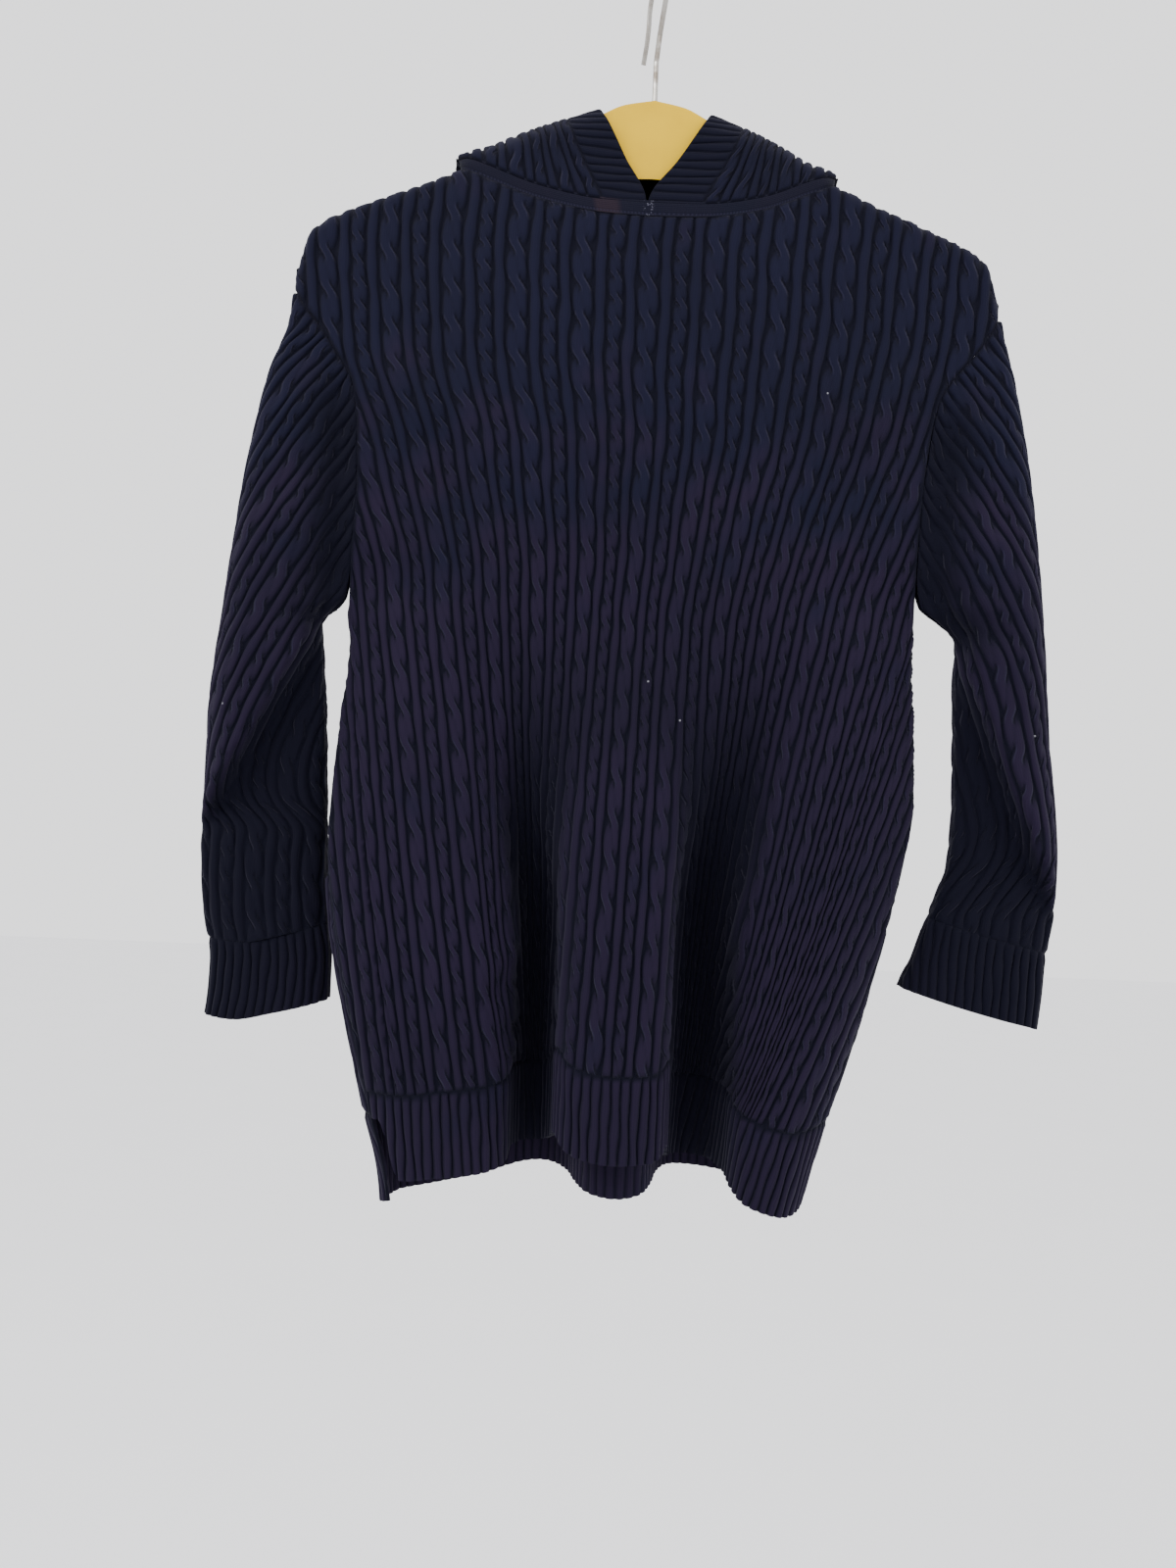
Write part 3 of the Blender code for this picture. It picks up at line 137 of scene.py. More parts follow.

# ---- tables ----

# How much the wales fan out, by height, and further out than FAN_TO they fan out less
BODY_STRETCH = ((-435, 0.79), (-405, 0.83), (-325, 1.0), (-250, 1.14), (-180, 1.18))
FAN_TO = 120.0
# Under FAN_FOOT the wales run straight, as seen from the front: x at FAN_FOOT, x at HEM_LEVEL
FAN_FOOT = -435.0
FRONT_WALES = ((-430, -362), (-118, -62), (-27, -42), (45, 30), (206, 66), (430, 282))
BACK_WALES = ((-430, -370), (-150, -112), (-30, -26), (30, 26), (150, 112), (430, 370))
# How the ribs of the front's hem band lean: place across the cloth, lean as a slope
BAND_LEAN = ((-250, -0.07), (-120, -0.07), (-45, 0.0), (30, 0.02), (130, 0.3), (280, 0.26))
# How far the wales have wandered across a sleeve: height, left, right
SLEEVE_LEAN = (
    (-605, 0, 0), (-560, 2, 1), (-530, 10, 5), (-470, 32, 14), (-410, 54, 32), (-330, 84, 62),
    (-228, 122, 102),
)
# Creases: middle across, height, turn in degrees from upright, length, width, how far it stands out
FRONT_CREASES = (
    (-150, -640, 62, 60, 9, 2.2), (-165, -668, 55, 60, 8, -2.0), (-140, -700, 70, 50, 8, 1.8),
    (-150, -290, -40, 90, 14, 2.0), (150, -290, 42, 90, 14, 2.0), (-120, -340, -28, 110, 16, -1.6),
    (125, -345, 30, 110, 16, -1.6), (60, -520, 12, 200, 26, 2.0), (-70, -540, -10, 200, 26, 2.0),
    (150, -610, 20, 90, 12, 1.6),
)
BACK_CREASES = (
    (-130, -300, -35, 120, 18, 2.2), (130, -300, 38, 120, 18, 2.0), (0, -260, 90, 160, 22, 2.5),
    (40, -480, 8, 220, 26, 2.5), (-60, -500, -6, 240, 24, 2.5),
)
SLEEVE_CREASES = (
    (40, -300, 35, 60, 9, 1.8), (50, -345, 30, 70, 10, -1.6), (30, -400, 20, 90, 12, 1.6),
    (-40, -330, -30, 80, 12, 1.8), (45, -640, 50, 50, 8, 1.4),
)
# The line over the hanger's arms that the shoulder seams follow: distance out, height
RIDGE_LINE = (
    (0, -84), (35, -93.5), (60, -106), (100, -129), (125, -143.5), (148, -154), (168, -162),
    (185, -169), (200, -175.5), (213, -183), (220, -190.5), (224, -206), (227.5, -222), (229, -240),
)
# The hanger's body: distance out, top, bottom
HANGER = (
    (0, -90, -146), (20, -94, -147), (35, -101.5, -149), (60, -114.5, -154), (100, -138, -167),
    (148, -162, -182), (185, -177.5, -192), (205, -187, -198),
)
# Armholes, and the sleeves' inner edges above the underarm: height, left x, right x
ARMHOLE = (
    (-224, -228, 228), (-238, -219, 221), (-251, -208, 212), (-268, -197, 198), (-284, -187, 189),
    (-316, -182, 183), (-357, -180.5, 179), (-395, -182, 177.5), (-430, -183, 178),
)
MIDDLE = -3.0  # the middle of the front at the neck, which hangs a little to the left
UNDERARM = -430.0
# Side seams, and the armholes' run above them: height, left x, right x
SIDES = (
    (-284, -182, 183), (-357, -180.5, 179), (-395, -182, 177.5), (-430, -183, 178),
    (-463, -180, 177.5), (-494, -182, 178.5), (-540, -183, 178), (-580, -182, 171),
    (-619, -176, 161), (-655, -169, 152), (-688, -161, 143), (-735, -149, 128),
    (-777, -137, 116), (-810, -133, 108),
)
# Depths in front of and behind the hanger: height, front, back, at the armhole
DEPTHS = (
    (-130, 9, 9, 8), (-170, 12, 10, 8), (-220, 14, 11, 8), (-300, 17, 12, 8), (-380, 19, 13, 8),
    (-418, 20, 13, 3), (-434, 20, 13, 0.2), (-500, 21, 13, 0.2),
)
RIDGE_ROUND = 9.0  # radius of the cloth over the hanger's arms
FOLD_TOP = -415.0  # the hanging folds grow from here
FOLD_BOTTOM = -640.0  # to here
# The hem seen from above, from the left side seam to the right: x, y
HEM_FRONT = (
    (-137, -40), (-124, -48), (-100, -52), (-78, -50), (-68, -40), (-65, -14), (-58, 3), (-48, 3),
    (-40, -15), (-37, -45), (-29, -61), (-3, -68), (21, -61), (28, -45), (31, -15), (40, 3),
    (57, 3), (66, -15), (70, -36), (79, -49), (96, -49), (108, -39), (116, -24),
)
FRONT_MIDDLE = 11
HEM_BACK = (
    (-137, -40), (-146, -28), (-147, -12), (-138, 1), (-112, 8), (-80, 14), (-56, 20), (-40, 17),
    (-28, 2), (-22, -18), (-14, -33), (0, -39), (13, -33), (20, -18), (25, 2), (35, 18), (52, 22),
    (74, 18), (94, 11), (110, 3), (118, -9), (116, -24),
)
BACK_MIDDLE = 11
LOBES = (-66.0, 72.0)  # outside these, a lobe widens with the sides above the hem
OVERHANG = 0.6  # of how far the hem's outer lobes reach past the side seams, kept higher up
# The hem's height along it, as a share of the way from the middle to a side: share, height
HEM_LINE_FRONT = (
    (-1.0, -742), (-0.94, -776), (-0.85, -773), (-0.7, -768), (-0.57, -761), (-0.45, -762),
    (-0.3, -752), (-0.2, -745), (-0.1, -754), (0.0, -757), (0.1, -756), (0.2, -750), (0.3, -762),
    (0.5, -768), (0.64, -772), (0.75, -782), (0.88, -789), (1.0, -786),
)
HEM_LINE_BACK = (
    (-1.0, -790), (-0.85, -796), (-0.6, -789), (-0.35, -778), (-0.2, -780), (0.0, -784),
    (0.2, -780), (0.35, -777), (0.6, -780), (0.85, -785), (1.0, -786),
)
# Sleeves seen from the front: height, outer edge, inner edge
SLEEVE_LEFT = (
    (-224, -228, -228), (-238, -229, -219), (-251, -231, -208), (-268, -237, -197),
    (-284, -242, -187), (-316, -248, -182), (-357, -254, -180.5), (-395, -258, -182),
    (-422, -260.5, -184.5), (-429, -261, -188), (-434, -261.5, -194), (-439, -262, -199.5),
    (-461, -264.6, -198.5), (-500, -267.4, -195), (-540, -267, -192.5), (-582, -268.5, -190.5),
    (-621, -265.5, -187.5), (-657, -259, -184.5), (-671, -259, -184.5), (-700, -262, -185.5),
)
SLEEVE_RIGHT = (
    (-224, 228, 228), (-238, 231, 221), (-251, 234, 212), (-268, 238, 198), (-284, 241, 189),
    (-322, 248, 183), (-357, 252.5, 179), (-395, 256.5, 178.5), (-415, 258, 182), (-422, 258.5, 190),
    (-429, 259, 199), (-436, 260, 205), (-497, 264, 206.5), (-542, 269, 207.5), (-578, 271, 205),
    (-606, 271, 195.5), (-640, 266.5, 183.5), (-659, 265, 175.5), (-690, 261, 177),
)
SLEEVE_ROUND = (10.0, 26.0)  # radius of a sleeve's outer edge, at the armhole and at the cuff
# A sleeve's front layer hangs proud above a slanting fold and lies back under it
FOLD_ENDS = (((-200, -441), (-262, -553)), ((203, -441), (258, -571)))
# Depths of a sleeve's layers: height, proud front, low front, back
SLEEVE_DEPTHS = (
    (-222, 9, 8, 9), (-300, 15, 9, 12), (-400, 24, 8, 14), (-470, 28, 7, 15), (-560, 28, 6, 15),
    (-620, 19, 8, 16), (-700, 14, 12, 16),
)
# Cuff edges, along the layer from the outer fold to the underarm seam: share, left z, right z
CUFF_LINE = ((0.0, -690, -680), (0.3, -692, -674), (0.6, -687, -667), (1.0, -678, -656))

# The hood's left half. Each row is one wale from the neck ring over the hanger and down behind it to
# the crown: share of half the ring, then x, y, z at each station along the wale.
HOOD_LENGTH = 360.0
HOOD = (
    (0.00, (0, 12, -153), (0, 12.2, -147), (0, 12.5, -141), (0, 13.5, -132), (0, 17.5, -125),
     (0, 22, -133), (0, 22.5, -150), (0, 22.5, -170), (0, 22.5, -190), (0, 22.5, -210),
     (0, 22.5, -230)),
    (0.17, (-49, 12, -152.4), (-49, 12.2, -147), (-49.5, 12.5, -141), (-50, 13, -132),
     (-51, 17.5, -126.5), (-52, 22, -134), (-52, 22.5, -170), (-51, 22.5, -215),
     (-46, 23, -270), (-32, 23, -320), (0, 23, -352)),
    (0.35, (-98, 9, -149), (-98.5, 9.5, -145), (-99, 10, -141), (-99.5, 12, -134),
     (-102, 15.5, -130), (-105, 20.5, -138), (-107, 21.5, -176), (-108, 22.5, -240),
     (-97, 23.5, -305), (-68, 25, -366), (0, 26.5, -407)),
    (0.44, (-120, 7.5, -144.5), (-120.5, 8, -141), (-121, 8.8, -137.5), (-121.5, 11, -133.5),
     (-122.5, 15, -131.5), (-124.5, 20, -138), (-126.5, 22.5, -178), (-125.5, 24, -243),
     (-110.5, 26, -312), (-74, 28, -375), (0, 29, -418)),
    (0.50, (-126, 0, -141.8), (-126.9, 0.4, -138.3), (-127.6, 1, -135.2), (-128.3, 4.5, -132.3),
     (-129.3, 13, -132), (-130.8, 23, -137), (-132, 31, -176), (-129, 31.5, -248),
     (-115, 32, -320), (-76, 32, -384), (0, 33, -426)),
    (0.56, (-118, -7.8, -145.5), (-119, -7.8, -141.5), (-119.5, -7.2, -138), (-120, -4, -132),
     (-121, 6, -127.5), (-123.5, 20, -128.5), (-129, 36, -152), (-130, 38, -216),
     (-116, 37.5, -302), (-75, 38, -375), (0, 38.5, -417)),
    (0.60, (-106, -9.6, -151), (-106.5, -9.7, -146), (-107, -9.7, -141.5), (-107.5, -8.4, -134),
     (-110, 2, -125), (-114, 17, -125.5), (-121.5, 36, -150), (-124.5, 40, -212),
     (-112, 39.5, -292), (-72, 40, -362), (0, 40, -402)),
    (0.75, (-68, -11, -164), (-70, -11, -153), (-73, -10.7, -138), (-76, -9.2, -121.5),
     (-80, 0, -112.5), (-86, 13, -115), (-101, 35, -141), (-110, 41, -205), (-100, 42, -272),
     (-64, 42, -330), (0, 42, -362)),
    (0.90, (-30, -12.5, -170.5), (-32.5, -12.4, -160), (-44, -12, -137), (-54, -10.3, -114),
     (-57, -1, -104), (-63, 12, -107), (-79, 36, -133), (-88, 43, -195), (-81, 43.5, -252),
     (-54, 43.5, -300), (0, 43.5, -327)),
    (1.00, (-3.2, -12.5, -171.5), (-3.6, -12.5, -160), (-17, -12, -135), (-32, -10.6, -106),
     (-36.5, -2, -96.8), (-41, 10, -99), (-62, 37, -127), (-75, 44, -180), (-71, 44, -238),
     (-47, 44, -284), (0, 44, -305)),
)


# ---- curves and hanging forms ----


def cubic(ends, slopes, step, f):
    """A smooth curve between two values with these slopes, f of the way along the step."""
    (start, end), (leave, arrive) = ends, slopes
    return (
        start * (1 + 2 * f) * (1 - f) ** 2 + end * (3 - 2 * f) * f**2
        + step * (leave * f * (1 - f) ** 2 - arrive * f**2 * (1 - f))
    )


def through(table, at, column=1, rounded=False):
    """A smooth curve through a table's first column and another. It holds its end values."""
    rows = np.array(table, float)
    rows = rows[np.argsort(rows[:, 0], kind="stable")]
    x, y = rows[:, 0], rows[:, column]
    slope = np.diff(y) / np.diff(x)
    before, after = slope[:-1], slope[1:]
    if rounded:
        inner = (before + after) / 2
    else:
        product = before * after
        inner = np.where(product > 0, 2 * product / np.where(product > 0, before + after, 1), 0)
    tangent = np.concatenate([slope[:1], inner, slope[-1:]])
    at = np.asarray(at, float)
    i = np.clip(np.searchsorted(x, at) - 1, 0, len(x) - 2)
    step = x[i + 1] - x[i]
    f = np.clip((at - x[i]) / step, 0, 1)
    return cubic((y[i], y[i + 1]), (tangent[i], tangent[i + 1]), step, f)


def ease(value, start, end):
    """From 0 at the start to 1 at the end, level at both."""
    f = np.clip((np.asarray(value, float) - start) / (end - start), 0, 1)
    return f * f * (3 - 2 * f)


def bump(value, width):
    """A soft bump of height 1 around 0."""
    return np.exp(-((value / width) ** 2))


def arch(share):
    """A quarter round: 0 at 0, and 1 from 1 on."""
    return np.sqrt(1 - (1 - np.clip(share, 0, 1)) ** 2)


def ridge_height(x):
    return through(RIDGE_LINE, np.abs(x)) - TILT * x


def below_underarm(height):
    """From 0 above the underarms to 1 below them."""
    return ease(-height, 400, 450)


def below_ridge(x, z):
    """How far a point lies below the shoulder line, square to it."""
    slope = (ridge_height(x + 0.5) - ridge_height(x - 0.5)) / 1.0
    return (ridge_height(x) - z) / np.sqrt(1 + slope**2)


def side_samples(reach, flat=0.7):
    """Shares from the middle out, close together where a side turns round."""
    inner = np.linspace(0, flat, 150)[:-1]
    turn = flat + (1 - flat) * np.sin(np.linspace(0, math.pi / 2, 90))[:-1]
    half = np.concatenate([inner, turn, np.linspace(1, reach, 50)])
    return np.concatenate([-half[:0:-1], half])


BODY_SAMPLES = side_samples(1.32)
SLEEVE_SAMPLES = (1 - np.cos(np.linspace(0, math.pi, 200))) / 2


def hem_curve(table, middle):
    """The hem's plan at each body sample, by its share of the way round to each side."""
    points = np.array(table, float)
    along = np.concatenate([[0], np.cumsum(np.linalg.norm(np.diff(points, axis=0), axis=1))])
    centre, whole = along[middle], along[-1]
    u = np.clip(BODY_SAMPLES, -1, 1)
    place = np.where(u < 0, centre * (1 + u), centre + (whole - centre) * u)
    rows = np.column_stack([along, points])
    return [through(rows, place, column, rounded=True) for column in (1, 2)]


FRONT_HEM_XY = hem_curve(HEM_FRONT, FRONT_MIDDLE)
BACK_HEM_XY = hem_curve(HEM_BACK, BACK_MIDDLE)


def widened(x, left, right):
    """Hem places with the outer lobes stretched or squeezed to reach the side seams."""
    first, last = HEM_FRONT[0][0], HEM_FRONT[-1][0]
    low, high = LOBES
    out_left = low + (x - low) * (left - low) / (first - low)
    out_right = high + (x - high) * (right - high) / (last - high)
    out_left = np.maximum(out_left, left) + OVERHANG * np.minimum(x - first, 0)
    out_right = np.minimum(out_right, right) + OVERHANG * np.maximum(x - last, 0)
    return np.where(x < low, out_left, np.where(x > high, out_right, x))


def body_slice(height, front):
    """(x, y) of the front or back panel at this height, for each body sample."""
    left, right = through(SIDES, height, 1), through(SIDES, height, 2)
    u = BODY_SAMPLES
    x = (left + right) / 2 + (right - left) / 2 * u
    depth = through(DEPTHS, height, 1 if front else 2)
    edge = through(DEPTHS, height, 3)
    lower = below_underarm(height)
    flat_side = 1 - ease(np.abs(u), 0.35, 1.12)
    round_side = arch((1 - np.abs(u)) / 0.3)
    swell = edge + (depth - edge) * (flat_side + lower * (round_side - flat_side))
    swell = swell * arch(below_ridge(x, height) / RIDGE_ROUND)
    y = -swell if front else swell
    fold = ease(-height, -FOLD_TOP, -FOLD_BOTTOM)
    hem_x, hem_y = FRONT_HEM_XY if front else BACK_HEM_XY
    hem_x = widened(hem_x, left, right)
    return x + fold * (hem_x - x), y + fold * (hem_y - y)


def below_fold(x, height, left):
    """How far a point of a sleeve lies below its slanting fold, square to it."""
    (x0, z0), (x1, z1) = FOLD_ENDS[0 if left else 1]
    slope = (z1 - z0) / (x1 - x0)
    return (z0 + slope * (x - x0) - height) / math.sqrt(1 + slope**2)


def sleeve_slice(height, left):
    """(x, y) of a sleeve at this height, from the underarm round the back, the outer edge and the
    front to the underarm again."""
    table = SLEEVE_LEFT if left else SLEEVE_RIGHT
    outer, inner = through(table, height, 1), through(table, height, 2)
    share = SLEEVE_SAMPLES
    x = outer + (inner - outer) * share
    round_by = SLEEVE_ROUND[0] + (SLEEVE_ROUND[1] - SLEEVE_ROUND[0]) * ease(-height, 250, 480)
    edge = through(DEPTHS, height, 3)
    tube = below_underarm(height)
    span = max(abs(inner - outer), 0.5)
    outer_turn = arch(np.abs(x - outer) / min(round_by, max(span * 0.45, 8)))
    end_turn = arch((1 - share) * span / SEAM_CLOSE)
    proud, low, back = (float(through(SLEEVE_DEPTHS, height, k)) for k in (1, 2, 3))
    front = proud + (low - proud) * ease(below_fold(x, height, left), 0, FOLD_DROP)
    cap_rise = ease((1 - share) * span, 0, CAP_RISE)
    layers = []
    for depth in (back, front):
        cap = edge + (depth - edge) * cap_rise
        closed = edge + (depth - edge) * end_turn
        layers.append((cap + tube * (closed - cap)) * outer_turn)
    back_y, front_y = layers
    return np.concatenate([x[:0:-1], x]), np.concatenate([back_y[:0:-1], -front_y])


def wale_stations(shares):
    """The stations of these wales of the left half: an array of station, axis, wale."""
    return np.array([
        [through([(row[0], row[k][axis]) for row in HOOD], shares) for axis in range(3)]
        for k in range(1, len(HOOD[0]))
    ])


def hood_place(cloth):
    """Places of hood points. Cloth coordinates: share of half the neck ring, from -1 at the left
    front over 0 at the back to 1 at the right front; and millimetres up from the ring."""
    share, up = cloth[:, 0], np.clip(cloth[:, 1], 0, HOOD_LENGTH) / HOOD_LENGTH
    wales = np.abs(share)
    stations = wale_stations(wales)
    steps = np.linalg.norm(np.diff(stations, axis=0), axis=1)
    along = np.concatenate([np.zeros((1, len(share))), np.cumsum(steps, axis=0)])
    slopes = np.diff(stations, axis=0) / steps[:, None, :]
    ends = steps[:-1, None, :] + steps[1:, None, :]
    middle = (slopes[1:] * steps[:-1, None, :] + slopes[:-1] * steps[1:, None, :]) / ends
    tangents = np.concatenate([slopes[:1], middle, slopes[-1:]])
    place = up * along[-1]
    i = np.clip((along <= place).sum(axis=0) - 1, 0, len(steps) - 1)
    wale = np.arange(len(share))
    step = steps[i, wale]
    f = (place - along[i, wale]) / step
    found = np.empty((len(share), 3))
    for axis in range(3):
        near = stations[i, axis, wale], stations[i + 1, axis, wale]
        turns = tangents[i, axis, wale], tangents[i + 1, axis, wale]
        found[:, axis] = cubic(near, turns, step, f)
    found[:, 0] = np.minimum(found[:, 0], 0)
    # The right half is the left half mirrored, with its own reach, and meets it at the middle
    shift = 2 * MIDDLE * ease(wales, 0.9, 1) * (1 - ease(up, 0, 0.2))
    reach = HOOD_RIGHT[0] + (HOOD_RIGHT[1] - HOOD_RIGHT[0]) * ease(-found[:, 0], 40, 110)
    found[:, 0] = np.where(share > 0, shift - found[:, 0] * reach, found[:, 0])
    found[:, 2] -= TILT * found[:, 0]
    return found


def between(grid, row, column):
    """Values of a grid between its rows and columns."""
    i = np.clip(np.floor(row).astype(int), 0, grid.shape[0] - 2)
    j = np.clip(np.floor(column).astype(int), 0, grid.shape[1] - 2)
    f, g = np.clip(row - i, 0, 1), np.clip(column - j, 0, 1)
    if grid.ndim == 3:
        f, g = f[:, None], g[:, None]
    lower = grid[i, j] * (1 - g) + grid[i, j + 1] * g
    upper = grid[i + 1, j] * (1 - g) + grid[i + 1, j + 1] * g
    return lower * (1 - f) + upper * f


class Hanging:
    """A panel's hanging form, worked out once on a fine grid of heights and distances across."""

    def __init__(self, cut_slice, anchor, heights, reach, ends):
        self.heights = np.arange(heights[0], heights[1] + STEP_UP, STEP_UP)
        self.across = np.arange(-reach, reach + STEP_ACROSS, STEP_ACROSS)
        self.grid = np.empty((len(self.heights), len(self.across), 2))
        self.ends = np.empty((len(self.heights), 2))
        for level, height in enumerate(self.heights):
            x, y = cut_slice(height)
            along = np.concatenate([[0], np.cumsum(np.hypot(np.diff(x), np.diff(y)))])
            along -= along[anchor]
            self.grid[level, :, 0] = np.interp(self.across, along, x)
            self.grid[level, :, 1] = np.interp(self.across, along, y)
            self.ends[level] = ends(height, along, x)

    def place(self, cloth):
        """Where cloth points hang."""
        row = (cloth[:, 1] - self.heights[0]) / STEP_UP
        column = (cloth[:, 0] - self.across[0]) / STEP_ACROSS
        return np.column_stack([between(self.grid, row, column), cloth[:, 1]])

    def low(self, height):
        """The place across of the panel's first end."""
        return np.interp(height, self.heights, self.ends[:, 0])

    def high(self, height):
        """The place across of the panel's last end."""
        return np.interp(height, self.heights, self.ends[:, 1])

    def level(self, height):
        """The slice at a height, over its part where x rises, as x and distance across."""
        number = int(np.clip(round(height - self.heights[0]), 0, len(self.heights) - 1))
        x = self.grid[number, :, 0]
        low, high = int(np.argmin(x)), int(np.argmax(x))
        while low + 1 < high and x[low + 1] <= x[low]:
            low += 1
        return np.maximum.accumulate(x[low:high + 1]), self.across[low:high + 1]

    def across_of(self, x, height):
        """The cloth distances of places x, and on past the ends of the slice."""
        places, across = self.level(height)
        held = np.clip(x, places[0], places[-1])
        return np.interp(held, places, across) + x - held

    def x_of(self, across, height):
        """Where cloth distances lie in x, and on past the ends of the slice."""
        places, known = self.level(height)
        held = np.clip(across, known[0], known[-1])
        return np.interp(held, known, places) + across - held


def facing(place, cloth, flip, step=1.2):
    """The outward normals of cloth points, and how far the cloth is stretched across."""
    across, up = np.array([step, 0]), np.array([0, step])
    along = place(cloth + across) - place(cloth - across)
    rise = place(cloth + up) - place(cloth - up)
    normal = np.cross(along, rise) * (-1 if flip else 1)
    size = np.linalg.norm(normal, axis=1)
    return normal / np.maximum(size, 1e-9)[:, None], np.linalg.norm(along, axis=1) / (2 * step)


# ---- relief of the knit ----


def flat_top(x, half):
    """A ridge of height 1 over |x| < half, with a flat top and steep sides."""
    return (1 - np.clip(np.abs(x) / half, 0, 1) ** 3.4) ** 0.5


def rope(x, up, turn, swing, radius, tall):
    """Two strands that change sides at every turn. The one from the upper left lies on top. Gives
    the height, and how far x lies from the middle of the strand on top."""
    past = up - np.round(up / turn) * turn
    way = np.tanh(past / (turn * 0.19))
    meet = bump(past, turn * 0.27)
    lower = tall * (1 - 0.42 * meet) * flat_top(x - swing * way, radius * (1 + 0.1 * meet))
    half = radius * (1 + 0.22 * meet)
    upper = tall * (1 + 0.06 * meet) * flat_top(x + swing * way, half)
    height, beside = np.zeros(len(x)), x.copy()
    for own, centre in ((upper, -swing * way), (lower, swing * way)):
        on_top = own > height
        height = np.where(on_top, own, height)
        beside = np.where(on_top, x - centre, beside)
    rim = np.abs(np.abs(x + swing * way) - half)
    return height * (1 - 0.62 * meet * bump(rim, 0.75)), beside


def uneven(mark, height):
    """How far a wale strays sideways, as hand-worn knit does."""
    slow = 0.55 * np.sin(height / 9.1 + mark * 0.31) * np.sin(mark * 0.083 + height / 61.0)
    return slow + 0.28 * np.sin(height / 4.3 + mark * 0.47 + 2.0)


def wobble(number, spread):
    """A fixed uneven number for each whole number."""
    return spread * np.sin(number * 12.9898 + 4.1)


def cables(across, up):
    """Relief of the cable pattern: height over the groove floor, place across the strand, and
    place in the cable: across its half width, up in turns, and 1 on a cable."""
    number = np.floor((across + REPEAT_START) / REPEAT)
    x = across - number * REPEAT
    height, beside = np.zeros(len(x)), x.copy()
    share, turns, on_cable = x / BIG[1], None, np.zeros(len(x), bool)
    cable_rows = ((BIG, BIG_ROPE, wobble(number, 6)), (SMALL, SMALL_ROPE, wobble(number + 7, 5)))
    for (middle, half), (turn, swing, radius, tall), late in cable_rows:
        past = x - middle
        near = np.abs(past) < half + 0.3
        raised, from_strand = rope(past, up + late, turn, swing, radius, tall)
        height, beside = np.where(near, raised, height), np.where(near, from_strand, beside)
        share = np.where(near, past / half, share)
        turns = (up + late) / turn if turns is None else np.where(near, (up + late) / turn, turns)
        on_cable = on_cable | near
    for middle, half in RIBS:
        near = np.abs(x - middle) < half
        height = np.where(near, RIDGE * flat_top(x - middle, half), height)
        beside = np.where(near, x - middle, beside)
    return height, beside, np.column_stack([share, turns, on_cable])


def ribs(pitch, tall, shift=0.0):
    """A relief of plain ribs."""

    def relief(across, _up):
        x = np.mod(across + shift + pitch / 2, pitch) - pitch / 2
        return tall * flat_top(x, pitch * 0.42), x, np.zeros((len(x), 3))

    return relief


def cable_marks(reach):
    """Where points stand across the cable pattern."""
    number = math.ceil(reach / REPEAT) + 1
    return np.array([k * REPEAT + mark for k in range(-number, number + 1) for mark in MARKS])


def rib_marks(low, high, pitch):
    """Where points stand across plain ribs."""
    steps = np.arange(math.floor(low / pitch), math.ceil(high / pitch) + 1) * pitch
    return np.sort(np.concatenate([steps + pitch * share for share in RIB_MARKS]))


# ---- pieces of cloth ----


class Wales:
    """Where each wale of the pattern runs: its place across the cloth at each height."""

    def __init__(self, low, high, across_of):
        self.heights = np.arange(low, high, 4.0)
        self.marks = np.arange(-WALE_REACH, WALE_REACH + 1, WALE_STEP)
        self.table = np.array([across_of(self.marks, height) for height in self.heights])
        self.table = np.maximum.accumulate(self.table, axis=1) + np.arange(len(self.marks)) * 1e-4
        self.inverse = np.array([np.interp(self.marks, row, self.marks) for row in self.table])

    def read(self, table, value, height):
        row = np.interp(height, self.heights, np.arange(len(self.heights)))
        row = np.clip(row, 0, len(self.heights) - 1.001)
        column = np.clip((value + WALE_REACH) / WALE_STEP, 0, len(self.marks) - 1.001)
        return between(table, row, column)

    def across(self, mark, height):
        return self.read(self.table, mark, height)

    def mark(self, across, height):
        return self.read(self.inverse, across, height)


class Upright:
    """Wales that run straight up the cloth."""

    def across(self, mark, _height):
        return mark

    def mark(self, across, _height):
        return across


class Cut:
    """A flat cut of cloth. low, high: its ends across at a height. bottom, top: its heights at a
    place across. wales: where the pattern runs."""

    def __init__(self, low, high, bottom, top, wales=None):
        self.low, self.high, self.bottom, self.top = low, high, bottom, top
        self.wales = wales or Upright()

    def fitted(self, marks, rows):
        """Cloth points of a grid of pattern marks and rows, held inside the cut, and the pattern
        place of each."""
        mark, height = (values.ravel() for values in np.meshgrid(marks, rows))
        held = height.copy()
        for _ in range(4):
            across = self.wales.across(mark + uneven(mark, held), held)
            held = np.minimum(np.maximum(height, self.bottom(across)), self.top(across))
        across = np.clip(across, self.low(held), self.high(held))
        held = np.minimum(np.maximum(held, self.bottom(across)), self.top(across))
        found = self.wales.mark(across, held)
        return np.column_stack([across, held]), found - uneven(found, held)

    def edge_depth(self, cloth):
        """How far points lie from the nearest side, from the bottom and from the top."""
        across, height = cloth.T
        sides = np.minimum(across - self.low(height), self.high(height) - across)
        return sides, height - self.bottom(across), self.top(across) - height


